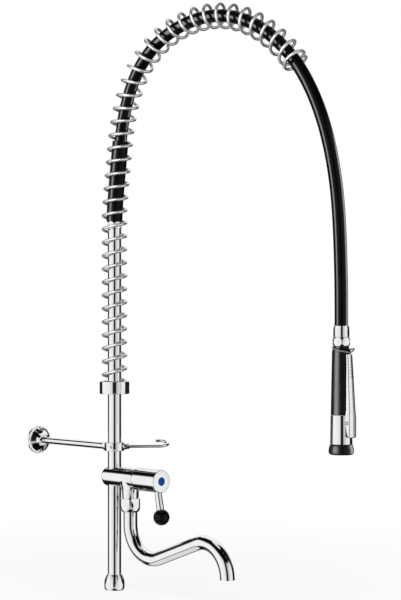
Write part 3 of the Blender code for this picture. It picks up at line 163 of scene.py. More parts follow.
def fit(piece, finish, body, node, place=(0, 0, 0), turn=(0, 0, 0), edge=32):
    """Puts a piece in its place, smooths it between its edges, finishes it and sets it on its body."""
    put(piece, place, turn)
    bpy.ops.object.shade_smooth_by_angle(angle=radians(edge))
    piece.data.materials.clear()
    piece.data.materials.append(finish)
    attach(piece, body)
    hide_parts(node)


def refinish(finish, *nodes):
    """Gives CAD solids that keep their shapes a finish."""
    for node in nodes:
        solids[node].material_slots[0].material = finish


def given(tree, node, inputs):
    """Gives a node's inputs their values, or links them to the results of other nodes."""
    for name, value in inputs.items():
        if isinstance(value, bpy.types.NodeSocket):
            tree.links.new(value, node.inputs[name])
        else:
            node.inputs[name].default_value = value


def worked(tree, kind, result, inputs, **settings):
    """The result of a new node."""
    node = tree.nodes.new("ShaderNode" + kind)
    for name, value in settings.items():
        setattr(node, name, value)
    given(tree, node, inputs)
    return node.outputs[result]


def finish_nodes(name):
    """An empty finish, its node tree and its Object coordinates."""
    made = bpy.data.materials.new(name)
    made.use_nodes = True
    return made, made.node_tree, worked(made.node_tree, "TexCoord", "Object", {})


def clouds(tree, place, scale, detail=3.0, stretch=(1, 1, 1)):
    """Noise over a piece, drawn out along the axes where stretch is small."""
    spot = worked(tree, "Mapping", "Vector", {"Vector": place, "Scale": stretch})
    return worked(tree, "TexNoise", "Fac", {"Vector": spot, "Scale": scale, "Detail": detail})


def between(tree, factor, low, high, start=0.35, end=0.65):
    """A number that goes from low to high as the factor goes from start to end."""
    span = {"Value": factor, "From Min": start, "From Max": end, "To Min": low, "To Max": high}
    return worked(tree, "MapRange", "Result", span)


def graded(tree, factor, stops):
    """A colour that runs through stops of (place, colour) with the factor."""
    node = tree.nodes.new("ShaderNodeValToRGB")
    ramp = node.color_ramp
    ramp.elements[0].position = stops[0][0]
    ramp.elements[1].position = stops[-1][0]
    for place, colour in stops[1:-1]:
        ramp.elements.new(place)
    for element, (place, colour) in zip(ramp.elements, stops):
        element.color = (*colour, 1.0)
    given(tree, node, {"Fac": factor})
    return node.outputs["Color"]


def surface(name, metallic, colours, roughness, drift, marks=None, relief=(0, 0), gloss=0.5):
    """A finish whose colour and roughness drift with soft clouds, with finer marks in relief.

    The drift and the marks are given as for clouds, and the relief as its depth and strength.
    """
    made, tree, place = finish_nodes(name)
    cloud = clouds(tree, place, *drift)
    look = {"Metallic": metallic, "Specular IOR Level": gloss}
    look["Base Color"] = graded(tree, cloud, ((0.3, colours[0]), (0.7, colours[1])))
    look["Roughness"] = between(tree, cloud, *roughness)
    if marks:
        height = cloud if marks == drift else clouds(tree, place, *marks)
        bump = {"Height": height, "Distance": relief[0], "Strength": relief[1]}
        look["Normal"] = worked(tree, "Bump", "Normal", bump)
    given(tree, tree.nodes["Principled BSDF"], look)
    return made


def plated(name, roughness, strength, stretch=(1, 1, 1)):
    """Bright chrome: soft clouds of polish, with fine buffing marks that run the way the piece was made."""
    colours = ((0.82, 0.83, 0.84), (0.87, 0.875, 0.88))
    return surface(name, 1.0, colours, roughness, (22.0,), (420.0, 2.0, stretch), (0.00001, strength))


def soft_black(name, colours, roughness, grain, depth, gloss):
    """Black rubber or moulded plastic: a fine grain, and a sheen that handling has evened out in places."""
    return surface(name, 0.0, colours, roughness, (30.0,), (grain, 2.0), (depth, 0.35), gloss)


forged_chrome = plated("forged_chrome", (0.035, 0.075), 0.10)
blacks = ((0.010, 0.010, 0.011), (0.018, 0.018, 0.019))
seal_rubber = soft_black("seal_rubber", blacks, (0.40, 0.55), 900.0, 0.0001, 0.4)

nut_across = 0.040
nut_height = 0.031
nut_belly = 0.0108
nut_round = 0.0215
nut_foot = 0.0190
nut_crown = 0.0154
column_fit = 0.01375
bore_edge = 0.0004
thread_radius = 0.0166
socket_depth = 0.0165
outline = []
for i in range(9):
    below = 1 - i / 8
    outline.append((nut_round - (nut_round - nut_foot) * below**4, nut_belly * (1 - below)))
for i in range(1, 17):
    above = i / 16
    height = nut_belly + (nut_height - nut_belly) * above
    outline.append((nut_round - (nut_round - nut_crown) * above**1.5, height))
outline += stepped(nut_height, (column_fit, socket_depth, -bore_edge, 0), (thread_radius, 0.0))
base_nut = six_flats(turned("base_nut", outline), nut_across)
fit(base_nut, forged_chrome, "column", "base_union_nut")
refinish(seal_rubber, "base_gasket")


# Column: one drawn brass tube in two stretches, polished lengthways and chromed. Its flanged tail is held by
# the union nut, and both stretches are soldered into the valve body's sockets.
drawn_chrome = plated("drawn_chrome", (0.015, 0.035), 0.08, (1, 1, 0.02))

tube_radius = 0.01345
tube_bore = 0.01145
tube_edge = 0.0004
tail_radius = 0.0163
tail_top = 0.0162
tail_base = 0.0122
lower_top = 0.2142
upper_base = 0.2418
upper_top = 0.7275
outline = stepped(tail_base, (tail_radius, tail_top), (tube_radius, lower_top, 0, tube_edge))
outline += stepped(lower_top, (tube_bore, tail_base))
fit(turned("column_lower", outline), drawn_chrome, "column", "riser_lower")
outline = stepped(upper_base, (tube_radius, upper_top, tube_edge, tube_edge), (tube_bore, upper_base))
fit(turned("column_upper", outline), drawn_chrome, "column", "riser_upper")


# Valve body: a brass casting, one level barrel across the column, with a socket for each stretch of tube and
# a neck for the spout that flares into it. It is bored, polished and chromed all over.
def solid(name, outline, sides=96):
    """Turns a piece with no bore."""
    return turned(name, outline, sides, hollow=False)


def rounded(centre, radius, start, end, steps=8):
    """Points of an outline's round stretch, with angles in degrees from the outward direction."""
    angles = [radians(start + (end - start) * i / steps) for i in range(steps + 1)]
    return [(centre[0] + radius * cos(a), centre[1] + radius * sin(a)) for a in angles]


def bored(piece, outline, place=(0, 0, 0), turn=(0, 0, 0), sides=96):
    """Cuts a turned shape out of a piece, as a drill or a boring bar does."""
    return combined(piece, put(solid("cutter", outline, sides), place, turn), "DIFFERENCE")


cast_chrome = plated("cast_chrome", (0.025, 0.050), 0.12)

valve_height = 0.228
valve_place = (0, 0, valve_height)
lay_forward = (pi / 2, 0, 0)
barrel_radius = 0.0205
barrel_back = -0.018
barrel_front = 0.074
back_edge = 0.0025
front_edge = 0.0012
ring_gap = 0.004
outline = rounded((barrel_radius - back_edge, barrel_back + back_edge), back_edge, -90, 0)
outline += [(barrel_radius, barrel_back + back_edge + ring_gap * i) for i in range(1, 22)]
outline += rounded((barrel_radius - front_edge, barrel_front - front_edge), front_edge, 0, 90, 5)
valve_body = put(solid("valve_casting", outline), turn=lay_forward)

neck_place = (0, -0.049, 0)
neck_radius = 0.0169
neck_edge = 0.0003
neck_end = -0.0395
neck_thread = 0.0152
neck_thread_end = neck_end - 0.010
flare_start = -0.0290
flare_rise = 0.0265
flare_side = 0.0034
flare_front = 0.0080
outline = stepped(neck_thread_end, (neck_thread, neck_end)) + [(neck_radius - 2 * neck_edge, neck_end)]
outline += [(neck_radius - neck_edge, neck_end + neck_edge), (neck_radius, flare_start)]
for i in range(1, 14):
    rise = i / 13
    side = neck_radius + flare_side * rise**2 * (3 - 2 * rise)
    outline.append((side, neck_radius + flare_front * rise**1.2, flare_start + flare_rise * rise))
combined(valve_body, put(solid("neck", outline), neck_place), "UNION")

beyond = 0.05
socket_floor = 0.0135
waterway = 0.007
headwork_radius = 0.015
headwork_seat = 0.0434
spigot_bore = 0.0115
spigot_roof = neck_thread_end + 0.0178
sockets = ((column_fit, -socket_floor), (tube_bore, socket_floor), (column_fit, beyond))
bored(valve_body, stepped(-beyond, *sockets))
headwork = stepped(0.0, (waterway, headwork_seat), (headwork_radius, 2 * beyond))
bored(valve_body, headwork, turn=lay_forward)
bored(valve_body, stepped(-2 * beyond, (spigot_bore, spigot_roof), (waterway, 0.0)), neck_place)
fit(valve_body, cast_chrome, "column", "valve_body", valve_place)


# Headwork: a turned brass cartridge with two lapped ceramic discs, a rubber seal and the spindle that the
# handle turns. It is pushed into the barrel's bore and hardly shows, so its CAD solids keep their shapes.
brasses = ((0.62, 0.46, 0.20), (0.76, 0.60, 0.30))
tool_rings = (700.0, 1.0, (0.05, 1, 0.05))
machined_brass = surface("machined_brass", 1.0, brasses, (0.22, 0.38), (60.0,), tool_rings, (0.0001, 0.2))
creams = ((0.82, 0.80, 0.76), (0.88, 0.86, 0.82))
lapped_ceramic = surface("lapped_ceramic", 0.0, creams, (0.14, 0.24), (400.0,))
refinish(machined_brass, "valve_cartridge", "valve_spindle")
refinish(lapped_ceramic, "disc_fixed", "disc_moving")
refinish(seal_rubber, "cartridge_seal")


# Handle: a turned and chromed brass drum over the headwork, held by a hidden screw. A chromed cap with a blue
# enamel dot closes its front, and the lever is screwed into the socket in its underside.
def lathe_steel(name, dark, light, roughness, scale):
    """Bare stainless steel with fine marks from the tool or the draw plate."""
    marks = (scale, 2.0)
    return surface(name, 1.0, (dark, light), roughness, marks, marks, (0.00005, 0.15))


turned_chrome = plated("turned_chrome", (0.015, 0.040), 0.10)
screw_steel = lathe_steel("screw_steel", (0.52, 0.53, 0.54), (0.64, 0.65, 0.66), (0.22, 0.34), 500.0)
blues = ((0.002, 0.058, 0.320), (0.004, 0.080, 0.390))
blue_enamel = surface("blue_enamel", 0.0, blues, (0.18, 0.28), (160.0,), gloss=0.06)

gap = 0.0003
drum_radius = 0.0226
drum_back = 0.0743
drum_front = 0.1425
drum_edge = 0.0020
drum_bore = 0.0195
web_back = 0.102
web_front = 0.109
screw_way = 0.0048
screw_well = 0.0085
cap_radius = 0.0165
cap_edge = 0.0001
cap_fit = cap_radius + 0.0001
cap_back = drum_front - 0.003
outline = rounded((drum_radius - drum_edge, drum_front - drum_edge), drum_edge, 90, 0, 10)
outline += [(drum_radius, drum_front - drum_edge - ring_gap * i) for i in range(1, 16)]
outline += rounded((drum_radius - drum_edge, drum_back + drum_edge), drum_edge, 0, -90, 6)
outline += stepped(drum_back, (drum_bore, web_back), (screw_way, web_front), (screw_well, cap_back - gap))
outline += stepped(cap_back - gap, (cap_fit, drum_front))
drum = put(turned("drum", outline), turn=lay_forward)
lever_tilt = 12
lever_turn = (radians(180 - lever_tilt), 0, 0)
lever_forward = -0.1275
rod_start = 0.0139
bored(drum, stepped(rod_start - gap, (0.0074, 0.0426)), (0, lever_forward, 0), lever_turn)
fit(drum, turned_chrome, "handle", "handle_drum", valve_place)

dot_radius = 0.0082
dot_edge = 0.0003
dot_back = drum_front - 0.0012
well_edge = 0.0002
well = (dot_radius + gap, drum_front, 0, -well_edge)
cap = solid("drum_cap", stepped(dot_back - gap, well, (cap_radius, cap_back, cap_edge, 0)))
fit(cap, turned_chrome, "handle", "handle_cap", valve_place, lay_forward)
outline = stepped(dot_back, (dot_radius, drum_front, 0, dot_edge))
dot = solid("blue_dot", outline + [(dot_radius * 0.5, drum_front + 0.0001)])
fit(dot, blue_enamel, "handle", "index_dot", valve_place, lay_forward)
refinish(screw_steel, "handle_screw")


# Lever: a tapered chromed rod that leans towards the user, with a moulded black ball pressed on its stud.
# It hangs straight down when the valve is shut.
blacks = ((0.0020, 0.0020, 0.0022), (0.0040, 0.0040, 0.0045))
ball_plastic = soft_black("ball_plastic", blacks, (0.10, 0.16), 300.0, 0.00002, 0.14)

lever_place = (0, lever_forward, valve_height)
ball_centre = 0.070 / cos(radians(lever_tilt))
ball_radius = 0.016
rod_root = 0.0068
rod_tip = 0.0078
rod_edge = 0.0003
rod_end = ball_centre - sqrt(ball_radius**2 - rod_tip**2) - gap
stud_radius = rod_tip * 0.6
stud_end = rod_end + gap + ball_radius * 0.4
outline = [(rod_root, rod_start), (rod_tip - rod_edge, rod_end - rod_edge), (rod_tip - 2 * rod_edge, rod_end)]
outline += stepped(rod_end, (stud_radius, stud_end))
rod = solid("handle_rod", outline, 64)
fit(rod, turned_chrome, "handle", "lever_rod", lever_place, lever_turn)
seat = -degrees(acos(rod_tip / ball_radius))
outline = stepped(stud_end + gap, (stud_radius + gap, rod_end + gap))
outline += rounded((0.0, ball_centre), ball_radius, seat, 89, 26)
ball = solid("ball", outline, 64)
fit(ball, ball_plastic, "handle", "ball_knob", lever_place, lever_turn)


# Spout nut: a hexagon nut with a rounded lower end, forged and chromed. It screws up onto the neck and holds
# the spout's flange there on a white slip ring, so that the spout still swivels on its two O-rings.
nut_across = 0.0385
nut_top = 0.1882
nut_base = 0.1607
nut_round = 0.0212
nut_collar = 0.0156
nut_swell = 0.0151
nut_bore = 0.0143
nut_thread = 0.0155
thread_base = 0.1726
outline = []
for i in range(15):
    lean = radians(90 - 90 * i / 14)
    reach = nut_collar + (nut_round - nut_collar) * cos(lean)
    outline.append((reach, nut_base + nut_swell * (1 - sin(lean))))
outline += [(nut_round, nut_top - 0.0013), (nut_round - 0.0010, nut_top)]
outline += stepped(nut_top, (nut_thread, thread_base), (nut_bore, nut_base))
spout_nut = six_flats(turned("neck_nut", outline), nut_across)
fit(spout_nut, forged_chrome, "column", "spout_nut", neck_place)
whites = ((0.74, 0.74, 0.72), (0.81, 0.81, 0.79))
refinish(surface("slip_nylon", 0.0, whites, (0.38, 0.52), (260.0,)), "spout_slip_ring")
refinish(seal_rubber, "spout_o_ring_upper", "spout_o_ring_lower")


# Spout: a swan neck bent from drawn tube on a round former, down, out and up, and down again, then chromed.
# Its grooved spigot sits in the valve's neck, and it swings from side to side under its nut.
spout_radius = 0.014
spout_wall = 0.0016
spout_reach = 0.216
spout_bend = 0.064
spout_rise = radians(20)
bend_height = 0.137
spigot = 0.0112
spigot_top = 0.1957
groove = 0.0091
groove_half = 0.0012
collar_radius = 0.0149
collar_top = 0.1782
collar_base = 0.1747
steps = []
for middle in (0.1917, 0.1857):
    steps += [(spigot, middle + groove_half), (groove, middle - groove_half)]
steps += [(spigot, collar_top), (collar_radius, collar_base), (spout_radius, bend_height)]
first = {"radius": spigot, "location": (0, 0, spigot_top)}
spout = opened(started("swan_neck", bpy.ops.mesh.primitive_circle_add, vertices=64, **first))
drawn_along(stepped(spigot_top, *steps))
bend = pi / 2 + spout_rise
bpy.ops.mesh.spin(steps=40, angle=bend, center=(0, -spout_bend, bend_height), axis=(1, 0, 0))
run = spout_reach - spout_bend - 2 * spout_bend * sin(spout_rise)
rise = run * tan(spout_rise)
drawn((0, -run, rise))
outlet_height = bend_height - 2 * spout_bend * cos(spout_rise) + rise
bpy.ops.mesh.spin(steps=40, angle=-bend, center=(0, -spout_reach, outlet_height), axis=(1, 0, 0))
closed()
applied(spout, "SOLIDIFY", thickness=spout_wall, offset=-1.0)
fit(spout, drawn_chrome, "spout", "spout_tube", neck_place)


# Wall bracket: a chromed ring clamped to the column by a grub screw, with a threaded boss for the arm at its
# back and a smaller one for the hook. The arm's locknut holds it turned the right way to its wall flange.
grub_radius = 0.0024
grub_tip = 0.01405
grub_edge = 0.0003
grub_hole = 0.0027


def grub_screw(name, end):
    """A headless screw along +Z with a cone point and a hexagon socket."""
    shank = stepped(grub_tip + 0.001, (grub_radius, end, 0, grub_edge))
    screw = solid(name, [(grub_radius / 2, grub_tip)] + shank, 32)
    size = {"radius": grub_radius / sqrt(3), "depth": 0.003, "location": (0, 0, end)}
    key = started("key", bpy.ops.mesh.primitive_cylinder_add, vertices=6, **size)
    return combined(screw, key, "DIFFERENCE")


bracket_height = 0.2885
bracket_place = (0, 0, bracket_height)
hook_turn = radians(55)
to_wall = (-pi / 2, 0, 0)
to_hook = (pi / 2, 0, hook_turn)
to_grub = (pi / 2, 0, radians(-60))
ring_radius = 0.020
ring_edge = 0.001
ring_low = bracket_height - 0.0085
ring_high = bracket_height + 0.0085
arm_thread = 0.0043
hook_thread = 0.00355
boss_start = 0.0156
outline = rounded((ring_radius - ring_edge, ring_low + ring_edge), ring_edge, -90, 0, 4)
outline += rounded((ring_radius - ring_edge, ring_high - ring_edge), ring_edge, 0, 90, 4)
clamp = turned("clamp", outline + stepped(ring_high, (column_fit, ring_low)))
for boss_radius, boss_end, turn in ((0.0082, 0.0225, to_wall), (0.0062, 0.0242, to_hook)):
    boss = solid("boss", stepped(boss_start, (boss_radius, boss_end)), 48)
    combined(clamp, put(boss, bracket_place, turn), "UNION")
for hole, turn in ((arm_thread, to_wall), (hook_thread, to_hook), (grub_hole, to_grub)):
    bored(clamp, stepped(0.0, (hole, beyond)), bracket_place, turn, 48)
fit(clamp, turned_chrome, "column", "clamp_ring")
screw = grub_screw("clamp_screw", ring_radius - 0.0005)
fit(screw, screw_steel, "column", "clamp_grub_screw", bracket_place, to_grub)

arm_radius = 0.007
arm_edge = 0.0005
arm_start = 0.0291
wall = 0.250
plate = wall - 0.004
outline = stepped(0.01505, (0.004, arm_start), (arm_radius, plate, arm_edge, 0))
arm = solid("wall_arm", outline, 64)
fit(arm, drawn_chrome, "column", "bracket_arm", bracket_place, to_wall)
outline = [(0.0086, 0.0228)] + stepped(0.0235, (0.0098, 0.0281)) + [(0.0086, 0.0288)]
outline += stepped(0.0288, (arm_thread, 0.0228))
locknut = six_flats(turned("arm_nut", outline), 0.017, 0.0004)
fit(locknut, turned_chrome, "column", "arm_locknut", bracket_place, to_wall)

flange_radius = 0.029
flange_edge = 0.0014
socket_radius = 0.0115
socket_edge = 0.001
mouth_edge = 0.0004
face = wall - 0.019
cone = ((0.0122, 0.0020), (0.0127, 0.0034), (0.0158, 0.0067), (0.0200, 0.0107))
cone += ((0.0232, 0.0136), (0.0244, 0.0144), (0.0258, 0.0148))
outline = stepped(plate + gap, (arm_radius + gap, face, 0, -mouth_edge))
outline += rounded((socket_radius - socket_edge, face + socket_edge), socket_edge, -90, 0, 5)
outline += [(radius, face + depth) for radius, depth in cone]
outline += rounded((flange_radius - flange_edge, plate + flange_edge), flange_edge, -90, 0, 6)
flange = solid("wall_rose", outline + [(flange_radius, wall)])
screw_hole = stepped(wall + 0.01, (0.0025, plate + 0.0016)) + stepped(plate, (0.0042, face))
for side in (-0.0225, 0.0225):
    bored(flange, screw_hole, (0, side, 0), sides=32)
fit(flange, turned_chrome, "column", "wall_flange", bracket_place, to_wall)


# Spray hook: a chromed rod bent back on itself at the end, where the spray's neck hangs. It is screwed into
# the clamp's small boss and held there by a thin hexagon nut.
hook_radius = 0.00325
hook_start = 0.01405
hook_end = 0.092
hook_bend = 0.019
hook_tilt = radians(12)
first = {"radius": hook_radius, "location": (0, -hook_start, 0), "rotation": lay_forward}
hook = opened(started("hook", bpy.ops.mesh.primitive_circle_add, vertices=40, **first))
drawn((0, hook_start - hook_end, 0))
centre = Vector((0, -hook_end, 0)) + hook_bend * Vector((cos(hook_tilt), 0, sin(hook_tilt)))
bpy.ops.mesh.spin(steps=36, angle=pi, center=centre, axis=(sin(hook_tilt), 0, -cos(hook_tilt)))
drawn((0, 0.0034, 0))
drawn((0, 0.0006, 0), (0.8, 1, 0.8))
closed(ends=True)
fit(hook, drawn_chrome, "column", "hook_rod", bracket_place, (0, 0, hook_turn))
outline = [(0.0054, 0.0245)] + stepped(0.0250, (0.00606, 0.0295)) + [(0.0054, 0.0300)]
outline += stepped(0.0300, (hook_thread, 0.0245))
hook_nut = six_flats(turned("hook_lock", outline, 48), 0.0105, 0.0003)
fit(hook_nut, turned_chrome, "column", "hook_nut", bracket_place, to_hook)


# Spring holder: a turned and chromed cup on the column, fixed by a grub screw at the back. The guide spring
# stands on its floor.
cup_radius = 0.030
cup_base = 0.395
cup_top = cup_base + 0.0256
cup_floor = cup_base + 0.007
cup_wall = 0.0267
cup_edge = 0.0012
lip_edge = 0.0006
outline = rounded((cup_radius - cup_edge, cup_base + cup_edge), cup_edge, -90, 0, 5)
outline += rounded((cup_radius - cup_edge, cup_top - cup_edge), cup_edge, 0, 90, 5)
outline += stepped(cup_top, (cup_wall, cup_floor, -lip_edge, 0), (column_fit, cup_base))
screw_place = (0, 0, cup_base + 0.0035)
cup = turned("spring_cup", outline)
bored(cup, stepped(0.0, (grub_hole, beyond)), screw_place, to_wall, 32)
fit(cup, turned_chrome, "column", "spring_collar")
screw = grub_screw("cup_screw", cup_radius - 0.002)
fit(screw, screw_steel, "column", "collar_grub_screw", screw_place, to_wall)


# Hose: one length of black reinforced rubber over the arch, from the nut on the column to the spray. Its line
# is a smooth curve in the arch's upright plane, through the points below, each a reach and a height.
def lengths_along(points):
    """How far along a line of points each of them is."""
    return np.append(0.0, np.cumsum(np.linalg.norm(np.diff(points, axis=0), axis=1)))


def arch_line(points, step):
    """Samples a cubic spline through points, upright at both ends, at about the step asked for."""
    points = np.array(points)
    knots = lengths_along(points)
    gaps = np.diff(knots)
    chords = np.diff(points, axis=0) / gaps[:, None]
    rows = np.eye(len(points))
    slopes = np.array([(0.0, 1.0)] * len(gaps) + [(0.0, -1.0)])
    for i in range(1, len(gaps)):
        rows[i, i - 1 : i + 2] = gaps[i], 2 * (gaps[i - 1] + gaps[i]), gaps[i - 1]
        slopes[i] = 3 * (gaps[i] * chords[i - 1] + gaps[i - 1] * chords[i])
    slopes = np.linalg.solve(rows, slopes)
    samples = np.linspace(0.0, knots[-1], int(knots[-1] / step) + 2)
    spans = np.clip(np.searchsorted(knots, samples, side="right") - 1, 0, len(gaps) - 1)
    width = gaps[spans][:, None]
    share = (samples - knots[spans])[:, None] / width
    start = points[spans] * (1 + 2 * share) + slopes[spans] * width * share
    end = points[spans + 1] * (3 - 2 * share) - slopes[spans + 1] * width * (1 - share)
    return start * (1 - share) ** 2 + end * share**2


def wire(name, points, radius, sides_level, loop=False):
    """A round wire or hose through points, as a curve of one spline."""
    curve = bpy.data.curves.new(name, "CURVE")
    curve.dimensions = "3D"
    curve.bevel_depth = radius
    curve.bevel_resolution = sides_level
    curve.use_fill_caps = not loop
    spline = curve.splines.new("POLY")
    spline.points.add(len(points) - 1)
    for spot, point in zip(spline.points, points):
        spot.co = (*point, 1.0)
    spline.use_smooth = True
    spline.use_cyclic_u = loop
    made = bpy.data.objects.new(name, curve)
    bpy.context.scene.collection.objects.link(made)
    return made


def meshed(made):
    """Makes a curve a mesh."""
    chosen(made)
    bpy.ops.object.convert(target="MESH")
    return made


def arch_point(length):
    """The point of the arch's centre line that is so far along it from the spring's foot."""
    reach, height = (float(np.interp(length, arch_lengths, side)) for side in arch_flat.T)
    return ahead * reach + Vector((0, 0, height))


def arch_points(length, steps):
    """Even points along the hose from its start."""
    return [arch_point(hose_start + length * i / steps) for i in range(steps + 1)]


wire_radius = 0.0032
spring_foot = cup_floor + gap + wire_radius
arch_turn = radians(9)
ahead = Vector((sin(arch_turn), -cos(arch_turn), 0))
beside = Vector((cos(arch_turn), sin(arch_turn), 0))
hose_route = (
    (0.000, 0.7426), (0.003, 0.790), (0.008, 0.836), (0.014, 0.887), (0.022, 0.939), (0.036, 0.989),
    (0.057, 1.034), (0.087, 1.072), (0.125, 1.101), (0.169, 1.121), (0.217, 1.132), (0.268, 1.133),
    (0.319, 1.122), (0.366, 1.100), (0.408, 1.069), (0.444, 1.032), (0.473, 0.990), (0.496, 0.945),
    (0.514, 0.897), (0.528, 0.844), (0.538, 0.786), (0.544, 0.717), (0.547, 0.640), (0.548, 0.580),
    (0.548, 0.5236),
)
arch_flat = np.vstack([[(0.0, spring_foot)], arch_line(hose_route, 0.001)])
arch_lengths = lengths_along(arch_flat)
arch_end = float(arch_lengths[-1])
hose_start = float(arch_lengths[1]) + gap

blacks = ((0.0015, 0.0015, 0.0017), (0.0030, 0.0030, 0.0034))
hose_rubber = soft_black("hose_rubber", blacks, (0.14, 0.20), 1400.0, 0.00002, 0.10)
hose_radius = 0.0125
hose_points = arch_points(arch_end - hose_start, 120)
hose = wire("rubber_hose", hose_points, hose_radius, 8)
hose.data.materials.append(hose_rubber)
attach(hose, "column")
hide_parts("hose")


# Hose sleeve: a short length of thicker black rubber tube slipped over the hose above the nut, where the
# guide spring would otherwise chafe it.
sleeve_radius = 0.0163
sleeve_wall = sleeve_radius - hose_radius - 2 * gap
sleeve = wire("rubber_sleeve", arch_points(0.162, 40), sleeve_radius, 10)
sleeve.data.use_fill_caps = False
applied(meshed(sleeve), "SOLIDIFY", thickness=sleeve_wall, offset=-1.0)
softened(sleeve, 0.0006, 3, 60)
blacks = ((0.0018, 0.0018, 0.0020), (0.0035, 0.0035, 0.0040))
sleeve_rubber = soft_black("sleeve_rubber", blacks, (0.20, 0.28), 1100.0, 0.00003, 0.10)
fit(sleeve, sleeve_rubber, "column", "hose_sleeve")


# Guide spring: one long right-handed coil of drawn and polished steel wire about the column and the hose. Its
# end curls are closed up; it stands evenly up the column and opens a little over the bend.
spring_radius = 0.0229
close_curl = 2 * wire_radius + 2 * gap
standing_height = 0.990
standing_pitch = 0.02656
arch_pitch = 0.0297
end_reach = 0.446
foot_angle = 170
foot_lead = 38
look_along = 0.002
crest = int(np.argmax(arch_flat[:, 1]))
standing = float(np.interp(standing_height, arch_flat[: crest + 1, 1], arch_lengths[: crest + 1]))
spring_end = float(np.interp(end_reach, arch_flat[crest:, 0], arch_lengths[crest:]))
marks = [0.0, close_curl, standing, spring_end - close_curl, spring_end]
standing_curls = (standing - close_curl) / standing_pitch
arch_curls = (spring_end - close_curl - standing) / arch_pitch
curls = np.cumsum([0.0, 1.0, standing_curls, arch_curls, 1.0])
spring_points = []
for turn in np.linspace(0.0, curls[-1], round(curls[-1] * 28) + 1):
    length = float(np.interp(turn, curls, marks))
    angle = radians(foot_angle + foot_lead * max(0.0, 1 - turn / curls[2])) + tau * turn
    along = arch_point(min(length + look_along, arch_end)) - arch_point(max(length - look_along, 0.0))
    out = cos(angle) * beside - sin(angle) * beside.cross(along.normalized())
    spring_points.append(arch_point(length) + spring_radius * out)
spring_steel = plated("spring_steel", (0.36, 0.44), 0.15)
spring = meshed(wire("coil_spring", spring_points, wire_radius, 4))
fit(spring, spring_steel, "column", "guide_spring", edge=50)


# Hose nut: a chromed nut turned to a ball and then milled, so that its six flats show as discs. It seals the
# hose's tail to the column's top.
def ball_nut(name, across, base, height, *bore):
    """A ball-turned hexagon nut, with the steps of its bore from the top."""
    ball_size = hypot(across / 2, height / 2)
    rise = degrees(asin(height / 2 / ball_size))
    side = rounded((0.0, base + height / 2), ball_size, -rise, rise, 14)
    return six_flats(turned(name, stepped(base + height, *bore) + side), across, 0.0003)


nut_base = 0.7278
tail_radius = 0.01115
bore = ((waterway, nut_base - 0.014), (tail_radius, nut_base))
hose_nut = ball_nut("column_hose_nut", 0.0275, nut_base, 0.0148, *bore)
fit(hose_nut, turned_chrome, "column", "hose_nut")


# Hose ferrule: a chromed cup crimped on the hose's lower end, with a chamfered lip. The stem under it turns
# in the spray's swivel nut.
spray_place = (arch_point(arch_end).x, arch_point(arch_end).y, 0.0)
ferrule_base = 0.5163
ferrule_top = ferrule_base + 0.021
ferrule_floor = ferrule_base + 0.007
ferrule_radius = 0.0148
ferrule_bore = hose_radius + 2 * gap
ferrule_edge = 0.0006
stem_radius = 0.0072
stem_bore = 0.005
stem_end = 0.5127
stem_foot = stem_end - 0.003
stem_collar = 0.0098
outline = [(ferrule_bore + 0.0006, ferrule_top), (ferrule_bore + 0.0010, ferrule_top - 0.0003)]
outline += [(ferrule_radius - 0.0002, ferrule_top - 0.0042)]
outside = ((ferrule_radius, ferrule_base, 0, ferrule_edge), (stem_radius, stem_end), (stem_collar, stem_foot))
bore = ((stem_bore, ferrule_floor), (ferrule_bore, ferrule_top))
outline += stepped(ferrule_top - 0.0050, *outside, *bore)
ferrule = turned("crimp_ferrule", outline)
fit(ferrule, turned_chrome, "column", "hose_ferrule", spray_place)


# Swivel nut: another ball-turned and chromed hexagon, at the spray's head. The hose's stem turns freely in it
# against a rubber washer, so that the hose never twists.
nut_base = 0.5005
nut_height = 0.0155
bore = ((stem_radius + gap, nut_base + nut_height - 0.003), (0.0104, nut_base))
swivel_nut = ball_nut("swivel_hexagon", 0.031, nut_base, nut_height, *bore)
fit(swivel_nut, turned_chrome, "spray", "spray_swivel_nut", spray_place)
refinish(seal_rubber, "spray_washer")


# Spray body: turned brass, chromed, with the inlet tube inside the grip and a lug at the front for the
# lever's pin. A pressed stainless disc with rings of jets closes its nose.
body_top = 0.3739
body_base = 0.3204
shoulder_radius = 0.0196
shoulder_edge = 0.0003
skirt_radius = 0.0204
skirt_edge = 0.0004
inlet_radius = 0.010
inlet_top = 0.5071
inlet_bore = 0.005
nose_radius = 0.0168
nose_end = body_base - 0.0145
nose_bore = 0.014
outline = [(shoulder_radius - shoulder_edge, body_top), (shoulder_radius, body_top - shoulder_edge)]
outline += [(skirt_radius, body_base + skirt_edge), (skirt_radius - skirt_edge, body_base)]
outline += stepped(body_base, (nose_radius, nose_end), (nose_bore, nose_end + 0.021))
outline += stepped(nose_end + 0.030, (inlet_bore, inlet_top), (inlet_radius, body_top))
spray_body = turned("spray_casting", outline)
pivot = Vector((0, -0.0225, 0.3599))
across_spray = (0, pi / 2, 0)
lug_half = 0.0074
size = {"location": (0, -0.01905, pivot.z), "scale": (2 * lug_half, 0.0069, 0.0084)}
lug = started("lug", bpy.ops.mesh.primitive_cube_add, size=1, **size)
knuckle = solid("knuckle", stepped(-lug_half, (0.0042, lug_half)), 48)
combined(lug, put(knuckle, pivot, across_spray), "UNION")
combined(spray_body, lug, "UNION")
pin_hole = stepped(-0.02, (0.0023, 0.02))
bored(spray_body, pin_hole, pivot, across_spray, 32)
plunger_height = 0.3919
plunger_place = (0, 0, plunger_height)
bored(spray_body, stepped(0.0, (0.0033, beyond)), plunger_place, lay_forward, 32)
fit(spray_body, turned_chrome, "spray", "spray_body", spray_place)

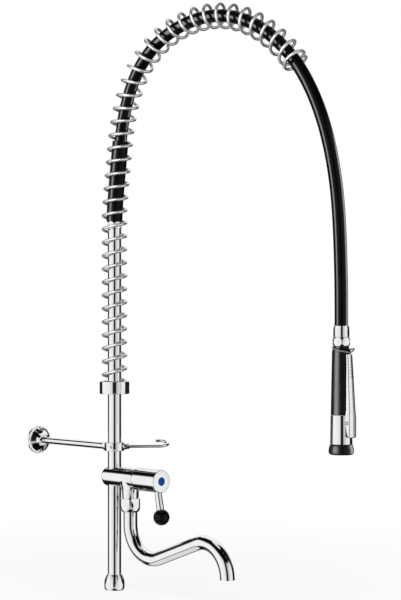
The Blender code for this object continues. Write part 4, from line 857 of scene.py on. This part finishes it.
pressed_steel = lathe_steel("pressed_steel", (0.56, 0.57, 0.58), (0.68, 0.69, 0.70), (0.16, 0.28), 350.0)
face_top = nose_end - gap
face_base = face_top - 0.003
face_edge = 0.0006
jet_radius = 0.0011
outline = stepped(face_top, (nose_radius, face_base, 0, face_edge))
face_disc = solid("jet_disc", outline + [(0.0140, face_base - 0.0003)])
jets = solid("jets", stepped(face_base - 0.002, (jet_radius, face_top + 0.001)), 16)
copies = []
for circle, count in ((0.0050, 6), (0.0104, 12)):
    for i in range(count):
        jet = jets.copy()
        jet.data = jets.data.copy()
        bpy.context.scene.collection.objects.link(jet)
        turn = tau * i / count
        copies.append(put(jet, (circle * cos(turn), circle * sin(turn), 0)))
chosen(jets)
for jet in copies:
    jet.select_set(True)
bpy.ops.object.join()
combined(face_disc, jets, "DIFFERENCE")
fit(face_disc, pressed_steel, "spray", "spray_face", spray_place)


# Grip: a black moulded sleeve over the inlet tube, swelling slightly towards the body and finely grained. A
# round hole in its front lets the plunger through.
blacks = ((0.0018, 0.0022, 0.0022), (0.0035, 0.0042, 0.0042))
grip_plastic = soft_black("grip_plastic", blacks, (0.28, 0.34), 1600.0, 0.00002, 0.16)
grip_top = 0.5002
grip_base = 0.3742
grip_bore = 0.0103
grip_neck = 0.0141
grip_shoulder = 0.0172
grip_foot = 0.0194
foot_edge = 0.0005
top_edge = 0.0004
neck_base = grip_top - 0.0045
shoulder_rise = 0.0075
outline = [(grip_foot - foot_edge, grip_base), (grip_foot, grip_base + foot_edge)]
for i in range(13):
    lean = radians(90 - 7.5 * i)
    swell = (grip_shoulder - grip_neck) * sin(lean)
    outline.append((grip_neck + swell, neck_base - shoulder_rise * (1 - cos(lean))))
outline += [(grip_neck, grip_top - top_edge), (grip_neck - top_edge, grip_top)]
grip = turned("moulded_grip", outline + stepped(grip_top, (grip_bore, grip_base)))
bored(grip, stepped(0.0, (0.0052, beyond)), plunger_place, lay_forward, 40)
fit(grip, grip_plastic, "spray", "spray_grip", spray_place)


# Bumper: a thick black rubber ring pushed over the spray's nose, so that a knock doesn't chip a plate. Its
# side swells towards a soft, rounded lower lip.
blacks = ((0.0022, 0.0022, 0.0024), (0.0045, 0.0045, 0.0050))
bumper_rubber = soft_black("bumper_rubber", blacks, (0.28, 0.34), 1000.0, 0.00002, 0.16)
bumper_top = body_base - gap
bumper_low = bumper_top - 0.019
bore_edge = 0.0005
bulge = ((0.0203, 0.0), (0.0208, 0.0005), (0.0216, 0.0030), (0.0223, 0.0052), (0.0229, 0.0080))
bulge += ((0.02335, 0.0105), (0.0234, 0.0130))
outline = stepped(bumper_low, (nose_radius + gap, bumper_top, -bore_edge, 0))
outline += [(radius, bumper_top - drop) for radius, drop in bulge]
outline += rounded((0.0200, bumper_low + 0.0040), 0.0032, 8, -80, 8)
bumper = turned("rubber_bumper", outline + [(0.0198, bumper_low)])
fit(bumper, bumper_rubber, "spray", "spray_bumper", spray_place)


# Spray lever: a channel pressed from one strip of steel, ribbed where the fingers press and chromed. Its two
# cheeks straddle the body's lug on a riveted pin, and it is wider there than at its upper end.
lever_top = 0.4852
lever_low = 0.3329
lever_sheet = 0.0015
lever_soft = 0.0032
lever_swing = radians(12)


def lever_width(height):
    """The lever's width: slim at the top, then swelling to its cheeks at the pin."""
    heights = (lever_low, 0.3359, 0.3689, 0.3739, 0.3839, 0.4300, lever_top)
    return float(np.interp(height, heights, (0.0190, 0.0204, 0.0204, 0.0198, 0.0180, 0.0166, 0.0142)))


def lever_front(height):
    """How far the lever's outer face stands forward of the spray's axis."""
    return float(np.interp(height, (body_top, lever_top), (0.0290, 0.0222)))


def lever_edge(height):
    """How far back the cheeks reach: close to the grip, and cut back below the pin, where they swing in."""
    around = np.interp(height, (body_base, body_top, lever_top), (0.0204, 0.0196, 0.01746))
    inside = lever_width(height) / 2 - lever_sheet
    swing = max(0.0, pivot.z - height) * tan(lever_swing)
    clear = float(np.interp(height, (0.3650, 0.3839, lever_top), (0.0009, 0.0026, 0.0030)))
    return min(sqrt(around**2 - inside**2) + clear + swing, lever_front(height) - lever_soft - 0.0004)


def corner_lift(distance, radius):
    """How much a rounded corner takes off an edge, at a distance from the corner's side."""
    short = max(0.0, radius - distance)
    return radius - sqrt(radius**2 - short**2)


rib_low = 0.4405
rib_high = 0.4797
rib_pitch = 0.0056
rib_height = 0.0006
rolled = 0.0018
crown = 0.0002
rows = 260
cheek = 6
bend = 6
across = 2 * (cheek + bend) + 9
depth = lever_front(lever_low) - lever_soft - lever_edge(lever_low)
counts = {"x_subdivisions": across - 1, "y_subdivisions": rows - 1}
lever = started("pressed_lever", bpy.ops.mesh.primitive_grid_add, size=1, **counts)
for index, corner in enumerate(lever.data.vertices):
    row, column = divmod(index, across)
    step = min(column, across - 1 - column)
    side = -1 if column < across / 2 else 1
    if step < cheek:
        along = depth * step / (cheek - 1)
        low = lever_low + max(corner_lift(along, 0.0045), corner_lift(depth - along, 0.0022))
        high = lever_top - corner_lift(0.0006 * step, 0.0025)
    else:
        along = 0.0008 * (step - cheek + 2)
        low = lever_low + corner_lift(along, 0.0060)
        high = lever_top - corner_lift(along, 0.0022)
    height = low + (high - low) * (row / (rows - 1))
    half = lever_width(height) / 2
    front = lever_front(height)
    edge = lever_edge(height)
    ribbed = rib_low < height < rib_high
    ribs = rib_height * sin((height - rib_low) / rib_pitch * pi) ** 2 if ribbed else 0.0
    tuck = corner_lift(height - low, rolled)
    if step < cheek:
        x = half - tuck
        y = edge + (front - lever_soft - edge) * step / (cheek - 1)
    elif step < cheek + bend:
        lean = radians(90 * (step - cheek + 1) / bend)
        x = half - lever_soft * (1 - cos(lean)) - tuck * cos(lean)
        y = front - lever_soft * (1 - sin(lean)) + ribs * sin(lean) ** 2 - tuck * sin(lean)
    else:
        inward = (step - cheek - bend + 1) / 5
        x = (half - lever_soft) * (1 - inward)
        y = front + crown * inward + ribs - tuck
    corner.co = (side * x, -y, height)
opened(lever)
closed()
outward = sum(face.normal.y for face in lever.data.polygons)
applied(lever, "SOLIDIFY", thickness=lever_sheet, offset=-1.0 if outward < 0 else 1.0, use_even_offset=True)
opened(lever)
closed()
softened(bored(lever, pin_hole, pivot, across_spray, 32), 0.0003, 2, 60)
pressed_chrome = plated("pressed_chrome", (0.05, 0.10), 0.12, (1, 1, 0.1))
fit(lever, pressed_chrome, "lever", "spray_lever", spray_place, edge=40)

pin_half = 0.0102 + gap
head = ((0.0016, 0.0014), (0.0026, 0.0012), (0.0032, 0.0006), (0.0034, 0.0), (0.0020, 0.0))
outline = [(radius, -pin_half - proud) for radius, proud in head]
outline += [(radius, -height) for radius, height in reversed(outline)]
pin = put(solid("lever_rivet", outline, 40), pivot, across_spray)
fit(pin, screw_steel, "spray", "lever_pin", spray_place)


# Plunger: a small turned stainless rod that the lever pushes in to open the spray's valve. A light coil
# spring about it, between the inlet tube and its head, pushes it and the lever out again.
plunger_tip = lever_front(plunger_height) - lever_sheet - 2 * gap
plunger_head = plunger_tip - 0.0022
head_radius = 0.0046
head_edge = 0.0008
outline = stepped(-0.002, (0.0030, plunger_head), (head_radius, plunger_tip - head_edge))
outline += rounded((head_radius - head_edge, plunger_tip - head_edge), head_edge, 0, 80, 4)
plunger = put(solid("push_rod", outline, 40), plunger_place, lay_forward)
fit(plunger, screw_steel, "plunger", "plunger", spray_place)
coil_radius = 0.0041
coil_wire = 0.0005
coil_start = 0.0108
coil_end = plunger_head - 0.0008
coil_steps = 4 * 24
coil_points = []
for i in range(coil_steps + 1):
    angle = tau * i / 24
    forward = coil_start + (coil_end - coil_start) * i / coil_steps
    coil_points.append((coil_radius * cos(angle), -forward, plunger_height + coil_radius * sin(angle)))
coil = meshed(wire("return_coil", coil_points, coil_wire, 3))
fit(coil, screw_steel, "plunger", "plunger_spring", spray_place, edge=50)


# Lock ring: a loop of bright stainless wire, round at the back and narrow at the front. It hangs about the
# grip's neck, and drops over the lever's end to hold the spray on.
ring_wire = 0.0015
ring_height = 0.4985
ring_lean = radians(13)
back_radius = 0.018
back_forward = 0.0024
nose_radius = 0.0062
nose_forward = 0.0225
nose_lift = 0.0030
nose_twist = 0.0044
lift_start = 0.007
lift_run = 0.0145
lean = degrees(asin((back_radius - nose_radius) / (nose_forward - back_forward)))
nose = rounded((0.0, -nose_forward), nose_radius, -180 + lean, -lean, 24)
back = rounded((0.0, -back_forward), back_radius, -lean, 180 + lean, 60)
hinge = back_radius - back_forward
ring_points = []
for x, y in nose + back:
    share = min(1.0, max(0.0, (-y - lift_start) / lift_run))
    lifted = share * (nose_lift + nose_twist * max(-1.0, min(1.0, x / nose_radius)))
    ring_points.append((x, y - hinge, lifted))
lock_ring = meshed(wire("wire_ring", ring_points, ring_wire, 4, loop=True))
put(lock_ring, (0, hinge, ring_height), (ring_lean, 0, 0))
ring_steel = lathe_steel("ring_steel", (0.36, 0.37, 0.38), (0.46, 0.47, 0.48), (0.20, 0.30), 600.0)
fit(lock_ring, ring_steel, "ring", "lock_ring", spray_place, edge=60)


# Studio: a plain white floor under a white surround. Chrome shows nothing but its room, so what it mirrors
# is two tall white screens, left and right, with dark gaps about them, and the backdrop behind.
scene = bpy.context.scene
scene.view_settings.view_transform = "Standard"
camera_turn = radians(-43)
to_camera = Vector((sin(camera_turn), -cos(camera_turn), 0))
to_right = Vector((cos(camera_turn), sin(camera_turn), 0))

camera_data = bpy.data.cameras.new("camera")
camera_data.lens = 108
camera_data.sensor_width = 36
camera = bpy.data.objects.new("camera", camera_data)
camera.location = (-2.353, -2.778, 0.5844)
camera.rotation_euler = (pi / 2, 0, camera_turn)
scene.collection.objects.link(camera)
scene.camera = camera


def mixed(tree, factor, first, second):
    """Two shaders in the proportion that the factor gives."""
    return worked(tree, "MixShader", "Shader", {0: factor, 1: first, 2: second})


def floor_white():
    """Pale floor, lifted towards white for the camera, that fades out so that no horizon shows."""
    made, tree, place = finish_nodes("floor_white")
    shader = tree.nodes["Principled BSDF"]
    mottle = graded(tree, clouds(tree, place, 6.0), ((0.3, [0.89] * 3), (0.7, [0.91] * 3)))
    given(tree, shader, {"Base Color": mottle, "Roughness": 0.9, "Specular IOR Level": 0.1})
    seen = between(tree, worked(tree, "LightPath", "Is Camera Ray", {}), 0.0, 0.8, 0.0, 1.0)
    lifted = mixed(tree, seen, shader.outputs["BSDF"], worked(tree, "Emission", "Emission", {}))
    far = worked(tree, "VectorMath", "Value", {0: place}, operation="LENGTH")
    clear = worked(tree, "BsdfTransparent", "BSDF", {})
    faded = mixed(tree, between(tree, far, 0.0, 1.0, 0.45, 1.2), lifted, clear)
    given(tree, tree.nodes["Material Output"], {"Surface": faded})
    return made


size = {"radius": 1.4, "location": (0, -0.2, -0.0005), "fill_type": "NGON"}
floor = started("studio_floor", bpy.ops.mesh.primitive_circle_add, vertices=96, **size)
floor.data.materials.append(floor_white())
floor.visible_glossy = False

surround = bpy.data.worlds.new("surround")
scene.world = surround
surround.use_nodes = True
tree = surround.node_tree


def sums(operation, *values):
    """What a Math node makes of numbers and the results of other nodes."""
    return worked(tree, "Math", "Value", dict(enumerate(values)), operation=operation)


def vectors(operation, result, *values):
    """What a Vector Math node makes of vectors and the results of other nodes."""
    return worked(tree, "VectorMath", result, dict(enumerate(values)), operation=operation)


def by_angle(*stops):
    """Brightness by the angle from the camera's side, in degrees to the left or to the right."""
    return graded(tree, round_about, [(angle / 180, [level] * 3) for angle, level in stops])


def by_height(*stops):
    """Brightness by the slope of the view, from 0, straight down, through 0.5 to 1, straight up."""
    return graded(tree, upward, [(slope, [level] * 3) for slope, level in stops])


direction = worked(tree, "TexCoord", "Generated", {})
heading = vectors("NORMALIZE", "Vector", vectors("MULTIPLY", "Vector", direction, (1, 1, 0)))
round_about = sums("DIVIDE", sums("ARCCOSINE", vectors("DOT_PRODUCT", "Value", heading, to_camera)), pi)
rightward = sums("GREATER_THAN", vectors("DOT_PRODUCT", "Value", heading, to_right), 0.0)
upward = sums("MULTIPLY_ADD", vectors("DOT_PRODUCT", "Value", direction, (0, 0, 1)), 0.5, 0.5)

left = by_angle((10, 0.01), (13, 0.60), (20, 0.84), (45, 0.97), (75, 1.04), (103, 1.0), (109, 0.01))
right = by_angle((14, 0.01), (18, 0.48), (26, 0.64), (48, 0.80), (60, 0.96), (88, 0.97), (97, 0.01))
screens = worked(tree, "Mix", 2, {0: rightward, 6: left, 7: right}, data_type="RGBA")
near = by_angle((76, 1), (90, 0))
near_height = sums("MULTIPLY", by_height((0.60, 0), (0.70, 0.9), (0.77, 0.8), (0.805, 0)), near)
screen_height = by_height((0.17, 0), (0.21, 1), (0.70, 1), (0.76, 0))
room = sums("MULTIPLY", screens, sums("MAXIMUM", screen_height, near_height))
backdrop = by_height((0.20, 0), (0.26, 0.34), (0.39, 0.34), (0.42, 0), (0.525, 0), (0.545, 1.0))
behind = by_angle((132, 0), (142, 1))
table = by_height((0.14, 0.8), (0.155, 0))
aside = sums("MULTIPLY", by_angle((40, 0), (60, 1)), sums("SUBTRACT", 1.0, rightward))
low_gap = by_height((0.22, 0), (0.27, 0.5), (0.38, 0.5), (0.41, 0))
in_front = by_angle((18, 1), (26, 0))
for part, where in ((backdrop, behind), (table, aside), (low_gap, in_front)):
    room = sums("MAXIMUM", room, sums("MULTIPLY", part, where))
room = sums("MAXIMUM", room, by_height((0.980, 0), (0.988, 0.9)))

white = (1.0, 1.0, 1.0, 1.0)
path = tree.nodes.new("ShaderNodeLightPath").outputs
plain = worked(tree, "Background", "Background", {"Color": white, "Strength": 0.70})
shown = worked(tree, "Background", "Background", {"Color": white})
mirrored = worked(tree, "Background", "Background", {"Color": sums("ADD", room, 0.004)})
straight = sums("MAXIMUM", path["Is Camera Ray"], path["Is Transmission Ray"])
whole = mixed(tree, path["Is Glossy Ray"], mixed(tree, straight, plain, shown), mirrored)
given(tree, tree.nodes["World Output"], {"Surface": whole})


def lamp(name, place, width, height, power):
    """A soft screen lamp that faces the middle of the faucet."""
    data = bpy.data.lights.new(name, "AREA")
    data.shape = "RECTANGLE"
    data.size = width
    data.size_y = height
    data.energy = power
    made = bpy.data.objects.new(name, data)
    made.location = middle_of_all + place
    made.rotation_euler = (-place).to_track_quat("-Z", "Y").to_euler()
    made.visible_camera = False
    scene.collection.objects.link(made)
    return made


def away(angle, distance, height):
    """A place about the faucet's middle, at an angle in degrees to the right of the camera's side."""
    turn = radians(angle)
    return distance * (cos(turn) * to_camera + sin(turn) * to_right) + Vector((0, 0, height))


middle_of_all = Vector((0.03, -0.30, 0.60))
key = lamp("key", away(-40, 2.0, 1.4), 1.5, 1.5, 26)
key.visible_glossy = False


# Sheen lamps: chrome takes its picture from the surround. Black rubber, black plastic and the satin spring
# need brighter screens, as in any studio. These light those pieces alone, and only their sheen.
def sheen(name, angle, height, width, power, *pieces):
    """A tall screen lamp for the sheen of a few pieces."""
    made = lamp(name, away(angle, 2.4, height), width, 2.4, power)
    lit = bpy.data.collections.new(name)
    for piece in pieces:
        lit.objects.link(piece)
    made.visible_diffuse = False
    made.light_linking.receiver_collection = lit


sheen("sheen_hose", -72, 0.0, 1.1, 230, hose, sleeve)
sheen("sheen_grip", -58, 0.0, 2.2, 330, grip, bumper)
sheen("sheen_rim", 102, 0.0, 1.5, 150, hose, bumper)
sheen("sheen_spring", -25, 0.9, 2.0, 42, spring)

bpy.context.view_layer.update()
